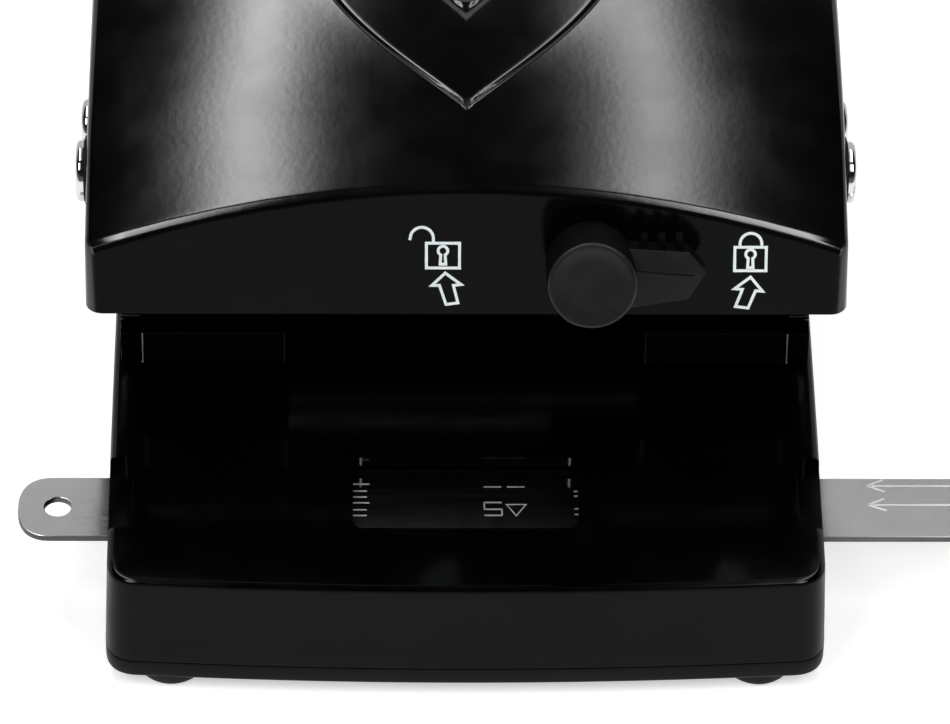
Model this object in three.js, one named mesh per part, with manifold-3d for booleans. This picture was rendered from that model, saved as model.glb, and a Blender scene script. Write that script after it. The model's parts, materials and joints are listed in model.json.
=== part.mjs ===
// Heavy duty two hole desk punch, modelled piece by piece as it comes apart on a bench.
// Millimetres, +Z up, +X to the right of the user, +Y away from the user.
// The origin lies midway between the two punches, on the face of the paper table.
import * as THREE from "three";
import { mergeVertices } from "three/addons/utils/BufferGeometryUtils.js";
import Module from "manifold-3d";

const wasm = await Module();
wasm.setup();

// Punching: hole pattern, paper slot and pins
const holeSpacing = 80;
const holeDiameter = 5.5;
const slotHeight = 8;
const marginDepth = 12;
const pinReach = 2.2;
const runningGap = 0.3;
const overrun = 4;

// Base shell
const baseWidth = 111;
const baseFlare = 0.7;
const frontReach = 72.1;
const rearReach = 96;
const frontBow = 3;
const sideBow = 0.5;
const baseCorner = 7;
const baseEdge = 1.6;
const shellDepth = 16.9;
const tableThickness = 2.6;
const wallThickness = 2.5;

// Chip tray and feet
const trayLip = 3.3;
const trayFloor = 1.6;
const trayRimHeight = 4;
const trayRimThickness = 1.6;
const trayEdge = 0.7;
const footRadius = 6;
const footHeight = 3.3;
const footInset = 10.5;

// Guide bar, its channel, window and notches
const barWidth = 13;
const barThickness = 1.5;
const barLength = 190;
const barLeftReach = 68.5;
const barDrop = 3.1;
const barInset = 21.7;
const barHole = 4.4;
const barHoleInset = 5.8;
const barEndBulge = 4;
const windowHalfWidth = 17.2;
const windowDepth = 15.6;
const windowCorner = 1.6;
const notchDepth = 4;
const channelWall = 1.2;
const stopThickness = 4.5;
const stopHeight = 9.5;

// Punch frame
const cheekThickness = 3;
const pinToCheek = 10;
const cheekReach = 29.9;
const webThickness = 2.5;
const webHeight = 22;
const flangeLength = 17;
const seatSink = 0.4;
const cheekTail = 46;
const blockThickness = 6.2;
const pinToBlockEnd = 12.5;
const screwRadius = 2;
const screwHeadRadius = 3.8;
const screwHeadHeight = 2;

// Lever pivot and drive shaft
const pivotAhead = 16.9;
const pivotHeight = 36;
const driveAhead = 0.2;
const driveHeight = 31;
const shaftRadius = 3.2;
const rollerRadius = 5;
const rollerLength = 12;
const earRadius = 6;
const pivotHeadRadius = 4.85;
const pivotHeadHeight = 1.5;
const driveHeadRadius = 4.5;
const driveHeadHeight = 1.2;
const washerThickness = 0.4;
const washerRadius = 5.4;

// Punch pins and springs
const pinHeadRadius = 4.2;
const pinHeadHeight = 2;
const clipThickness = 1.1;
const clipRadius = 5.6;
const springWire = 1.1;
const springRadius = 4.5;
const springTurns = 4;
const dieRadius = 7;
const dieFlange = 8.6;
const dieDepth = 6;

// Lever: hood with a tilted front, running back into the handle
const leverSheet = 1.6;
const leverSideGap = 3.15;
const faceTilt = 65;
const faceFoot = 38.5;
const faceFootHeight = 26;
const leverFront = 33.8;
const leverRear = 168;
const leverFrontHeight = 35.3;
const leverRise = 19.7;
const leverCrown = 5.3;
const leverEdge = 2;
const faceEdge = 1.8;
const handleWidth = 58;
const neckStart = 26;
const neckEnd = 82;
const handleRound = 24;
const skirtDrop = 14;
const panelTip = 16.6;
const panelHalfWidth = 24;
const panelLength = 25;
const panelSink = 0.9;
const panelEdge = 1.2;
const gripLength = 74;
const gripThickness = 2;

// Lock knob on the lever's front
const knobSide = 18.4;
const knobRise = 9.6;
const knobRadius = 6.7;
const knobReach = 17;
const knobPost = 4.4;
const bladeBehind = 6.7;
const bladeThickness = 5;
const bladeLength = 17.2;
const bladeWidth = 8.2;
const lockShaftRadius = 2.6;
const lockShaftDepth = 11.5;
const camDepth = 8.5;
const camThickness = 2;
const camHub = 4.6;
const camReach = 7.8;
const catchTop = 18;
const catchThickness = 2;

// Facets
const roundSteps = 20;
const smallSteps = 12;
const outlineSteps = 8;
const cornerSteps = 3;
const endSteps = 6;
const weldGap = 1e-4;

// Sizes that follow from the ones above
const punchX = holeSpacing / 2;
const pinRadius = holeDiameter / 2;
const pinBore = pinRadius + runningGap;
const baseHalf = baseWidth / 2;
const shellBottom = -shellDepth;
const trayBottom = shellBottom - trayLip;
const barTop = -barDrop;
const barBottom = barTop - barThickness;
const barY = barInset - frontReach;
const blockTop = slotHeight + blockThickness;
const cheekInner = punchX + pinToCheek;
const frameHalfWidth = cheekInner + cheekThickness;
const blockInner = punchX - pinToBlockEnd;
const leverHalf = frameHalfWidth + leverSideGap + leverSheet;
const handleHalf = handleWidth / 2;
const washerFace = leverHalf + washerThickness;
const rollerBottom = driveHeight - rollerRadius;
const pinTop = rollerBottom - runningGap;
const faceAngle = THREE.MathUtils.degToRad(faceTilt);
const faceUp = new THREE.Vector3(0, Math.cos(faceAngle), Math.sin(faceAngle));
const faceOut = new THREE.Vector3(0, -Math.sin(faceAngle), Math.cos(faceAngle));

const materials = {
  enamel: { color: 0x101112, roughness: 0.24, metalness: 0 },
  leverPaint: { color: 0x17181a, roughness: 0.36, metalness: 0 },
  plastic: { color: 0x1a1b1b, roughness: 0.55, metalness: 0 },
  rubber: { color: 0x141414, roughness: 0.85, metalness: 0 },
  steel: { color: 0xa8acae, roughness: 0.34, metalness: 1 },
  chrome: { color: 0xd8dadc, roughness: 0.12, metalness: 1 },
  spring: { color: 0x8c9094, roughness: 0.3, metalness: 1 },
  bronze: { color: 0xb08d57, roughness: 0.4, metalness: 1 },
};
for (const key of Object.keys(materials)) materials[key] = new THREE.MeshStandardMaterial(materials[key]);

// Turns a closed geometry into a solid, with its faces out.
function solidOf(geometry) {
  const bare = geometry.index ? geometry.toNonIndexed() : geometry.clone();
  for (const extra of ["normal", "uv"]) bare.deleteAttribute(extra);
  const merged = mergeVertices(bare, weldGap);
  const index = merged.index.array;
  const triVerts = [];
  for (let i = 0; i < index.length; i += 3) {
    const [a, b, c] = index.slice(i, i + 3);
    if (a !== b && b !== c && a !== c) triVerts.push(a, b, c);
  }
  const vertProperties = merged.attributes.position.array;
  const make = (faces) =>
    new wasm.Manifold(new wasm.Mesh({ numProp: 3, vertProperties, triVerts: new Uint32Array(faces) }));
  const solid = make(triVerts);
  return solid.volume() < 0 ? make(triVerts.reverse()) : solid;
}

function geometryOf(solid) {
  const mesh = solid.getMesh();
  const places = new Float32Array(mesh.numVert * 3);
  for (let i = 0; i < mesh.numVert; i++) {
    places.set(mesh.vertProperties.subarray(i * mesh.numProp, i * mesh.numProp + 3), i * 3);
  }
  const indexed = new THREE.BufferGeometry();
  indexed.setAttribute("position", new THREE.BufferAttribute(places, 3));
  indexed.setIndex(new THREE.BufferAttribute(mesh.triVerts, 1));
  const faceted = indexed.toNonIndexed();
  faceted.computeVertexNormals();
  return faceted;
}

function piece(name, solid, material) {
  const mesh = new THREE.Mesh(geometryOf(solid), material);
  mesh.name = name;
  return mesh;
}

// Prisms: an outline in two axes, drawn out along the third
function shapeOf(points) {
  return new THREE.Shape(points.map(([a, b]) => new THREE.Vector2(a, b)));
}

function prismZ(shape, low, high, steps = smallSteps) {
  const options = { depth: high - low, bevelEnabled: false, curveSegments: steps };
  return solidOf(new THREE.ExtrudeGeometry(shape, options).translate(0, 0, low));
}

const sideways = new THREE.Matrix4().makeBasis(
  new THREE.Vector3(0, 1, 0), new THREE.Vector3(0, 0, 1), new THREE.Vector3(1, 0, 0));

// The outline lies in Y and Z, and the prism runs from one X to the other.
function prismX(shape, low, high, steps = smallSteps) {
  const options = { depth: high - low, bevelEnabled: false, curveSegments: steps };
  return solidOf(new THREE.ExtrudeGeometry(shape, options).applyMatrix4(sideways).translate(low, 0, 0));
}

function box(x0, x1, y0, y1, z0, z1) {
  return solidOf(new THREE.BoxGeometry(x1 - x0, y1 - y0, z1 - z0)
    .translate((x0 + x1) / 2, (y0 + y1) / 2, (z0 + z1) / 2));
}

// A turned piece about Z, from a profile of radius and height
function turned(profile, steps = roundSteps) {
  const points = profile.map(([radius, height]) => new THREE.Vector2(radius, height));
  return solidOf(new THREE.LatheGeometry(points, steps).rotateX(Math.PI / 2));
}

function ring(outer, inner, low, high, steps = roundSteps) {
  return turned([[inner, low], [outer, low], [outer, high], [inner, high], [inner, low]], steps);
}

function rod(radius, low, high, steps = roundSteps) {
  return turned([[0, low], [radius, low], [radius, high], [0, high]], steps);
}

function move(solid, x, y, z) {
  return solid.translate([x, y, z]);
}

// Lays a piece turned about Z along X instead
function alongX(solid) {
  return solid.rotate([0, 90, 0]);
}

// Right hand pieces are drawn, and left hand ones are their mirror image
function onSide(side, solid) {
  return side < 0 ? solid.mirror([1, 0, 0]) : solid;
}

function joined(parts) {
  return parts.reduce((all, part) => all.add(part));
}

// A rectangle with round corners, centred on a place
function roundedRectangle(x0, x1, y0, y1, corner) {
  const shape = new THREE.Shape();
  shape.moveTo(x0 + corner, y0);
  shape.lineTo(x1 - corner, y0);
  shape.absarc(x1 - corner, y0 + corner, corner, -Math.PI / 2, 0);
  shape.lineTo(x1, y1 - corner);
  shape.absarc(x1 - corner, y1 - corner, corner, 0, Math.PI / 2);
  shape.lineTo(x0 + corner, y1);
  shape.absarc(x0 + corner, y1 - corner, corner, Math.PI / 2, Math.PI);
  shape.lineTo(x0, y0 + corner);
  shape.absarc(x0 + corner, y0 + corner, corner, Math.PI, 1.5 * Math.PI);
  return shape;
}

// The base's plan: a bowed front, sides that swell a little, and round corners
function baseOutline(inset) {
  const half = baseHalf - inset;
  const front = -frontReach + inset;
  const rear = rearReach - inset;
  const corner = Math.max(baseCorner - inset, wallThickness / 2);
  const side = half - sideBow;
  const shoulder = front + frontBow;
  const shape = new THREE.Shape();
  shape.moveTo(-side + corner, shoulder);
  shape.quadraticCurveTo(0, front - frontBow, side - corner, shoulder);
  shape.quadraticCurveTo(side, shoulder, side, shoulder + corner);
  shape.quadraticCurveTo(half + sideBow, (shoulder + rear) / 2, side, rear - corner);
  shape.quadraticCurveTo(side, rear, side - corner, rear);
  shape.lineTo(-side + corner, rear);
  shape.quadraticCurveTo(-side, rear, -side, rear - corner);
  shape.quadraticCurveTo(-half - sideBow, (shoulder + rear) / 2, -side, shoulder + corner);
  shape.quadraticCurveTo(-side, shoulder, -side + corner, shoulder);
  return shape;
}

// A slab of the base's plan whose upper and lower edges are rounded off, and whose sides
// may draw in by the flare between the shell's foot and the table
function edgedSlab(low, high, edge, flare = 0) {
  const options = {
    depth: high - low - 2 * edge, curveSegments: outlineSteps,
    bevelEnabled: true, bevelSize: edge, bevelThickness: edge, bevelOffset: -edge, bevelSegments: 2,
  };
  const geometry = new THREE.ExtrudeGeometry(baseOutline(0), options).translate(0, 0, low + edge);
  const place = geometry.attributes.position;
  for (let i = 0; i < place.count; i++) {
    const rise = (place.getZ(i) - shellBottom) / shellDepth;
    place.setX(i, place.getX(i) * (1 - (flare / baseHalf) * rise));
  }
  return solidOf(geometry);
}

// A cutter wider than the base, between two heights
function wideBox(low, high) {
  return box(-baseWidth, baseWidth, -2 * frontReach, 2 * rearReach, low, high);
}

// Four screws in a row along the frame's foot
const screwSpan = cheekInner - 3 * screwHeadRadius;
const screwPlaces = [-1, -1 / 3, 1 / 3, 1].map((share) => [
  share * screwSpan, marginDepth + webThickness + flangeLength / 2]);

// The pressed base: table, walls and seats, open underneath
function baseShell() {
  const edge = baseEdge;
  const skin = edgedSlab(shellBottom - overrun, 0, edge, baseFlare);
  const below = wideBox(shellBottom - 2 * overrun, shellBottom);
  const hollow = prismZ(baseOutline(wallThickness), shellBottom - overrun, -tableThickness, outlineSteps);
  let shell = skin.subtract(below).subtract(hollow);
  for (const side of [-1, 1]) {
    const seat = rod(dieFlange + wallThickness, -dieDepth, -tableThickness / 2);
    shell = shell.add(move(seat, side * punchX, 0, 0));
  }
  for (const [x, y] of screwPlaces) {
    const boss = rod(2 * screwRadius, -2 * tableThickness, -tableThickness / 2, smallSteps);
    shell = shell.add(move(boss, x, y, 0));
  }
  shell = shell.subtract(dieSeats()).subtract(barOpenings()).subtract(frameSeat());
  for (const [x, y] of screwPlaces) {
    const hole = rod(screwRadius + runningGap, -overrun - dieDepth, overrun, smallSteps);
    shell = shell.subtract(move(hole, x, y, 0));
  }
  return shell;
}

// A shallow pressing that the frame's foot and web sit in
function frameSeat() {
  const half = cheekInner + runningGap;
  const rear = marginDepth + webThickness + flangeLength + runningGap;
  return box(-half, half, marginDepth - runningGap, rear, -seatSink, overrun);
}

function dieSeats() {
  const gap = runningGap;
  const step = -tableThickness - gap;
  const seat = turned([[0, -dieDepth - overrun], [dieFlange + gap, -dieDepth - overrun],
    [dieFlange + gap, step], [dieRadius + gap, step], [dieRadius + gap, overrun], [0, overrun]]);
  return move(seat, -punchX, 0, 0).add(move(seat, punchX, 0, 0));
}

// The window in the table and the two notches that let the guide bar out
function barOpenings() {
  const front = barY - windowDepth / 2;
  const rear = barY + windowDepth / 2;
  const window = prismZ(roundedRectangle(-windowHalfWidth, windowHalfWidth, front, rear, windowCorner),
    -tableThickness - overrun, overrun, cornerSteps);
  const inner = baseHalf - notchDepth;
  const notch = prismZ(roundedRectangle(inner, inner + 2 * overrun + notchDepth, front, rear, windowCorner),
    barBottom - runningGap, overrun, cornerSteps);
  return joined([window, notch, notch.mirror([1, 0, 0])]);
}

// The push-fit tray that closes the base and catches the chips
function chipTray() {
  const pan = edgedSlab(trayBottom, shellBottom + overrun, trayEdge)
    .subtract(wideBox(shellBottom, shellBottom + 2 * overrun));
  const fit = wallThickness + runningGap;
  const rimTop = shellBottom + trayRimHeight;
  const rim = prismZ(baseOutline(fit), trayBottom + trayFloor, rimTop, outlineSteps);
  const inner = baseOutline(fit + trayRimThickness);
  const room = prismZ(inner, trayBottom + trayFloor, rimTop + overrun, outlineSteps);
  let tray = pan.add(rim).subtract(room);
  const ribHeight = trayFloor / 2;
  const ribSpan = baseHalf - fit - trayRimThickness / 2;
  for (const y of [-frontReach / 2, 0, rearReach / 3, 2 * rearReach / 3]) {
    tray = tray.add(box(-ribSpan, ribSpan, y - trayFloor / 2, y + trayFloor / 2,
      trayBottom + trayFloor - ribHeight, trayBottom + trayFloor + ribHeight));
  }
  return tray;
}

function foot() {
  const edge = footHeight / 4;
  return turned([[0, -footHeight], [footRadius - edge, -footHeight], [footRadius, -footHeight + edge],
    [footRadius, 0], [0, 0]]);
}

// Guide bar with a bulging left end and a hole near it
function guideBar() {
  const left = -barLeftReach;
  const right = left + barLength;
  const half = barWidth / 2;
  const shape = new THREE.Shape();
  shape.moveTo(left + barEndBulge, -half);
  shape.lineTo(right, -half);
  shape.lineTo(right, half);
  shape.lineTo(left + barEndBulge, half);
  shape.quadraticCurveTo(left + barEndBulge / 4, half, left + barEndBulge / 8, half / 3);
  shape.quadraticCurveTo(left - barEndBulge / 8, 0, left + barEndBulge / 8, -half / 3);
  shape.quadraticCurveTo(left + barEndBulge / 4, -half, left + barEndBulge, -half);
  const hole = new THREE.Path();
  hole.absarc(left + barHoleInset, 0, barHole / 2, 0, 2 * Math.PI);
  shape.holes.push(hole);
  return move(prismZ(shape, barBottom, barTop), 0, barY, 0);
}

// The paper stop slides with the bar: a plate that stands up from its right end, with a foot riveted on
function guideStop() {
  const right = barLength - barLeftReach;
  const x0 = right - stopThickness;
  const half = barWidth / 2 + stopThickness / 3;
  const face = roundedRectangle(barY - half, barY + half, barTop, barTop + stopHeight, stopThickness / 4);
  const block = prismX(face, x0, right + wallThickness, cornerSteps);
  const cap = box(right + runningGap, right + wallThickness, barY - half, barY + half,
    barBottom - stopThickness / 4, barTop + stopThickness / 4);
  return block.add(cap);
}

// A folded channel under the table that carries the guide bar
function guideChannel() {
  const half = barWidth / 2 + runningGap;
  const reach = baseHalf - wallThickness - sideBow - 3 * runningGap;
  const low = barBottom - runningGap;
  const ledge = half + channelWall + 2 * wallThickness;
  const under = -tableThickness;
  return prismX(shapeOf([
    [barY - ledge, under], [barY - ledge, under - channelWall],
    [barY - half - channelWall, under - channelWall],
    [barY - half - channelWall, low - channelWall], [barY + half + channelWall, low - channelWall],
    [barY + half + channelWall, under - channelWall], [barY + ledge, under - channelWall],
    [barY + ledge, under], [barY + half, under], [barY + half, low], [barY - half, low], [barY - half, under],
  ]), -reach, reach);
}

// A leaf spring in the channel's roof gap holds the bar where it is put
function detentSpring() {
  const width = barWidth / 2;
  const thick = (barDrop - tableThickness) / 2;
  const lift = barDrop - tableThickness;
  const high = -tableThickness;
  const reach = 2 * windowHalfWidth;
  const start = windowHalfWidth + 2 * windowCorner;
  const bump = thick / 2;
  const shape = new THREE.Shape();
  shape.moveTo(start, high);
  shape.lineTo(start, high - thick);
  shape.quadraticCurveTo((start + reach) / 2, high - lift - bump, reach, high - thick);
  shape.lineTo(reach, high);
  shape.lineTo(start, high);
  const options = { depth: width, bevelEnabled: false, curveSegments: smallSteps };
  const leaf = new THREE.ExtrudeGeometry(shape, options);
  const upright = leaf.rotateX(Math.PI / 2).translate(0, barY + width / 2, 0);
  return solidOf(upright);
}

// Side view of a cheek: an arm over the slot, the pivot's ear, and a tail that runs down to the base
function cheekOutline() {
  const armFront = -cheekReach;
  const earY = -pivotAhead;
  const setback = cheekReach - earRadius / 2;
  const saddle = driveHeight - shaftRadius - 4 * runningGap;
  const shape = new THREE.Shape();
  shape.moveTo(armFront, slotHeight);
  shape.lineTo(marginDepth, slotHeight);
  shape.lineTo(marginDepth, 0);
  shape.lineTo(cheekTail, 0);
  shape.lineTo(cheekTail, webThickness);
  shape.quadraticCurveTo(cheekTail / 2, saddle / 2, marginDepth, saddle);
  shape.lineTo(-driveAhead - shaftRadius, saddle);
  shape.quadraticCurveTo(earY + earRadius, saddle, earY + earRadius, pivotHeight);
  shape.absarc(earY, pivotHeight, earRadius, 0, 1.1 * Math.PI);
  shape.lineTo(-setback, pivotHeight - 1.6 * earRadius);
  shape.lineTo(-setback, blockTop + wallThickness / 2);
  shape.quadraticCurveTo(-setback, blockTop, armFront, blockTop);
  return shape;
}

// The frame: two cheeks and the web between them, which is the paper's back stop, folded out to a foot
function punchFrame() {
  const cheek = prismX(cheekOutline(), cheekInner, frameHalfWidth)
    .subtract(move(alongX(rod(shaftRadius + wallThickness / 2, -frameHalfWidth, frameHalfWidth)),
      frameHalfWidth, -pivotAhead, pivotHeight));
  const back = marginDepth + webThickness;
  const web = box(-cheekInner, cheekInner, marginDepth, back, -seatSink, webHeight);
  let floor = box(-cheekInner, cheekInner, marginDepth, back + flangeLength, -seatSink, webThickness);
  const relief = prismX(roundedRectangle(-holeSpacing / 4, holeSpacing / 4,
    webHeight - marginDepth / 2, webHeight + marginDepth, wallThickness), -overrun, overrun, cornerSteps);
  for (const [x, y] of screwPlaces) {
    floor = floor.subtract(move(rod(screwRadius + runningGap, -overrun, overrun, smallSteps), x, y, 0));
  }
  const notch = move(relief.rotate([0, 0, 90]), 0, marginDepth, 0);
  return joined([cheek, cheek.mirror([1, 0, 0]), floor, web.subtract(notch)]);
}

// One of the two blocks that guide the pins above the paper
function guideBlock(side) {
  const x0 = blockInner;
  const x1 = cheekInner;
  const shape = roundedRectangle(x0, x1, -cheekReach, marginDepth, wallThickness / 5);
  const bore = move(rod(pinBore, 0, 2 * blockTop, smallSteps), punchX, 0, 0);
  return onSide(side, prismZ(shape, slotHeight, blockTop, cornerSteps).subtract(bore));
}

// Screws that tie the block to its cheek, seen from outside
function cheekScrew(side, y) {
  const head = screwHeadHeight;
  const z = (slotHeight + blockTop) / 2;
  const face = frameHalfWidth;
  const radius = blockThickness / 3;
  const screw = turned([[0, 0], [radius, 0], [radius, head / 3], [radius / 2, head / 2], [0, head / 2]],
    smallSteps);
  return onSide(side, move(alongX(screw), face, y, z));
}

function die(side) {
  const bore = pinBore;
  const relief = bore + wallThickness / 4;
  const step = -tableThickness - 2 * runningGap;
  const body = turned([[bore, 0], [dieRadius, 0], [dieRadius, step], [dieFlange, step], [dieFlange, -dieDepth],
    [relief, -dieDepth], [bore, step], [bore, 0]]);
  return move(body, side * punchX, 0, 0);
}

// Pin with a head, whose cutting end is hollowed to a fishtail
function punchPin(side) {
  const neck = pinTop - pinHeadHeight;
  const pin = turned([[0, -pinReach], [pinRadius, -pinReach], [pinRadius, neck], [pinHeadRadius, neck],
    [pinHeadRadius, pinTop - pinHeadHeight / 4], [pinHeadRadius - pinHeadHeight / 4, pinTop], [0, pinTop]]);
  const hollow = alongX(rod(pinRadius, -2 * pinRadius, 2 * pinRadius));
  return move(pin.subtract(move(hollow, 0, 0, -pinReach - 0.55 * pinRadius)), side * punchX, 0, 0);
}

function springClip(side) {
  const high = pinTop - pinHeadHeight - runningGap;
  return move(ring(clipRadius, pinRadius + runningGap, high - clipThickness, high), side * punchX, 0, 0);
}

const springLow = blockTop + runningGap;
const springHigh = pinTop - pinHeadHeight - clipThickness - 2 * runningGap;
const springSteps = 8;
const springSides = 5;

class SpringCurve extends THREE.Curve {
  constructor(radius, low, high, turns) {
    super();
    Object.assign(this, { radius, low, high, turns });
  }
  getPoint(t, target = new THREE.Vector3()) {
    const angle = 2 * Math.PI * this.turns * t;
    return target.set(this.radius * Math.cos(angle), this.radius * Math.sin(angle),
      this.low + (this.high - this.low) * t);
  }
}

const springCurve = new SpringCurve(
  springRadius, springLow + springWire / 2, springHigh - springWire / 2, springTurns);

// The least gap between the wire's neighbouring turns, measured on points along the helix
function springGap() {
  const points = springCurve.getPoints(springTurns * springSteps);
  let least = Infinity;
  points.forEach((a, i) => points.slice(i + springSteps / 2).forEach((b) => {
    least = Math.min(least, a.distanceTo(b) - springWire);
  }));
  return least;
}

// A tube of few sides along the helix, closed at both ends
function returnSpring(side) {
  const steps = springTurns * springSteps;
  const places = [];
  for (let i = 0; i <= steps; i++) {
    const centre = springCurve.getPoint(i / steps);
    const tangent = springCurve.getTangent(i / steps);
    const outward = new THREE.Vector3(centre.x, centre.y, 0).normalize();
    const across = new THREE.Vector3().crossVectors(tangent, outward).normalize();
    for (let k = 0; k < springSides; k++) {
      const angle = (2 * Math.PI * k) / springSides;
      places.push(centre.clone()
        .addScaledVector(outward, (springWire / 2) * Math.cos(angle))
        .addScaledVector(across, (springWire / 2) * Math.sin(angle)));
    }
  }
  const faces = [];
  for (let i = 0; i < steps; i++) {
    for (let k = 0; k < springSides; k++) {
      const a = i * springSides + k;
      const b = i * springSides + ((k + 1) % springSides);
      faces.push(a, b, b + springSides, a, b + springSides, a + springSides);
    }
  }
  for (let k = 1; k < springSides - 1; k++) {
    faces.push(0, k + 1, k);
    const end = steps * springSides;
    faces.push(end, end + k, end + k + 1);
  }
  const geometry = new THREE.BufferGeometry().setFromPoints(places);
  geometry.setIndex(faces);
  return move(solidOf(geometry), side * punchX, 0, 0);
}

// Shafts, their heads and the pieces on them
function crossShaft(ahead, height, reach) {
  return move(alongX(rod(shaftRadius, -reach, reach)), 0, -ahead, height);
}

function shaftHead(side, radius, tall, ahead, height, start) {
  const dome = tall / 3;
  const head = turned([[0, 0], [radius, 0], [radius, tall - dome], [radius - dome, tall],
    [radius / 2, tall], [radius / 2 - dome, tall - dome], [0, tall - dome]]);
  return onSide(side, move(alongX(head), start, -ahead, height));
}

function shaftWasher(side) {
  const low = leverHalf;
  const washer = ring(washerRadius, shaftRadius + runningGap, 0, washerThickness);
  return onSide(side, move(alongX(washer), low, -pivotAhead, pivotHeight));
}

function pivotBush(side) {
  const bore = shaftRadius + runningGap;
  const outer = shaftRadius + wallThickness / 2 - runningGap;
  const lip = outer + wallThickness / 2;
  const length = cheekThickness + runningGap;
  const bush = turned([[bore, -length], [outer, -length], [outer, runningGap], [lip, runningGap],
    [lip, runningGap + washerThickness], [bore, runningGap + washerThickness], [bore, -length]]);
  return onSide(side, move(alongX(bush), frameHalfWidth, -pivotAhead, pivotHeight));
}

function pressRoller(side) {
  const half = rollerLength / 2;
  const bore = shaftRadius + runningGap;
  const edge = washerThickness;
  const roller = turned([[bore, -half], [rollerRadius - edge, -half], [rollerRadius, edge - half],
    [rollerRadius, half - edge], [rollerRadius - edge, half], [bore, half], [bore, -half]]);
  return move(alongX(roller), side * punchX, -driveAhead, driveHeight);
}

// A smooth line through points of growing first value
function smoothThrough(points, value) {
  let i = 0;
  while (i < points.length - 2 && value > points[i + 1][0]) i++;
  const chord = (k) => {
    const at = Math.min(Math.max(k, 0), points.length - 2);
    return (points[at + 1][1] - points[at][1]) / (points[at + 1][0] - points[at][0]);
  };
  // A line that turns round is level there, so it never swings past its points.
  const slope = (k) => {
    const [a, b] = [chord(k - 1), chord(k)];
    return a * b > 0 ? (2 * a * b) / (a + b) : 0;
  };
  const [[x0, y0], [x1, y1]] = [points[i], points[i + 1]];
  const span = x1 - x0;
  const t = Math.min(Math.max((value - x0) / span, 0), 1);
  const [t2, t3] = [t * t, t * t * t];
  return (2 * t3 - 3 * t2 + 1) * y0 + (t3 - 2 * t2 + t) * span * slope(i)
    + (3 * t2 - 2 * t3) * y1 + (t3 - t2) * span * slope(i + 1);
}

// How the lever's side line climbs: share of its length, share of its rise
const climbShares = [[-0.04, -0.5], [0, 0], [0.016, 0.173], [0.111, 0.569], [0.193, 0.716], [0.3, 0.83],
  [0.42, 0.93], [0.58, 1], [0.8, 0.98], [1, 0.86]];
// How the skirt's lower edge drops and climbs again, as a share of the skirt's drop below the front's foot
const skirtShares = [[-0.06, 0], [0.06, 0], [0.13, 0.55], [0.2, 1], [0.3, 0.9], [0.42, -0.6], [0.5, -1.02],
  [0.62, -1.08], [1, -0.95]];

function easeBetween(low, high, value) {
  const t = Math.min(Math.max((value - low) / (high - low), 0), 1);
  return t * t * (3 - 2 * t);
}

const leverLength = leverRear + leverFront;
const leverShare = (y) => (y + leverFront) / leverLength;
const sideLine = (y) => leverFrontHeight + leverRise * smoothThrough(climbShares, leverShare(y));
const skirtLine = (y) => faceFootHeight - skirtDrop * smoothThrough(skirtShares, leverShare(y));

// Half the lever's width: the hood, the neck, and the handle's rounded end
function leverHalfWidth(y, offset) {
  const plain = leverHalf + (handleHalf - leverHalf) * easeBetween(neckStart, neckEnd, y);
  const into = Math.max(y - (leverRear - handleRound), 0) / (handleRound + offset);
  return Math.max((plain + offset) * Math.sqrt(Math.max(1 - into * into, 0)), leverEdge / 2);
}

function panelEdgeAt(y) {
  const t = Math.min(Math.max((y + panelTip) / panelLength, 0), 1);
  const least = panelEdge / 4;
  return least + (panelHalfWidth - least) * (1.33 * t - 0.33 * t * t);
}

// One cross section of the lever, from its left lower corner over the top to its right lower corner
function leverSection(y, offset, lower, depth) {
  const half = leverHalfWidth(y, offset);
  const edge = Math.min(leverEdge + offset, half / 2);
  const crown = leverCrown * Math.min(half / leverHalf + 0.4, 1);
  const top = sideLine(y) + offset;
  const barrel = (x) => top + crown * (1 - (x / half) ** 2);
  const bare = Math.min(panelEdgeAt(y), half - 2 * edge);
  const sink = depth * easeBetween(-panelTip, panelLength - panelTip, y);
  const rightSide = [[0, barrel(0) - sink]];
  const inner = Math.max(bare - panelEdge, bare / 2);
  for (const share of [0.5, 1]) rightSide.push([inner * share, barrel(inner * share) - sink]);
  const flank = half - edge;
  for (const share of [0, 0.3, 0.6, 0.85, 1]) {
    const x = bare + (flank - bare) * share;
    rightSide.push([x, barrel(x)]);
  }
  const rim = barrel(flank) - edge;
  for (const angle of [45, 0]) {
    const turn = THREE.MathUtils.degToRad(angle);
    rightSide.push([flank + edge * Math.cos(turn), rim + edge * Math.sin(turn)]);
  }
  rightSide.push([half, Math.min(lower(y), rim - edge / 4)]);
  const leftSide = rightSide.slice(1).map(([x, z]) => [-x, z]).reverse();
  return [...leftSide, ...rightSide];
}

// A closed body through the lever's cross sections, between two places along it
function leverBody(offset, start, lower, depth) {
  const bend = leverRear - handleRound;
  const count = Math.round((bend - start) / (5 * leverSheet));
  const stations = [];
  for (let i = 0; i < count; i++) stations.push(start + ((bend - start) * i) / count);
  for (let i = 0; i <= endSteps; i++) {
    stations.push(bend + (handleRound + offset) * Math.sin((Math.PI / 2) * (i / endSteps)));
  }
  const rows = stations.map((y) =>
    leverSection(y, offset, lower, depth).map(([x, z]) => new THREE.Vector3(x, y, z)));
  const width = rows[0].length;
  const faces = [];
  for (let i = 0; i < rows.length - 1; i++) {
    for (let k = 0; k < width; k++) {
      const next = (k + 1) % width;
      const [a, b] = [i * width + k, i * width + next];
      faces.push(a, b, b + width, a, b + width, a + width);
    }
  }
  const last = (rows.length - 1) * width;
  for (let k = 1; k < width - 1; k++) {
    faces.push(0, k + 1, k);
    faces.push(last, last + k, last + k + 1);
  }
  const geometry = new THREE.BufferGeometry().setFromPoints(rows.flat());
  geometry.setIndex(faces);
  return solidOf(geometry);
}

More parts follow.
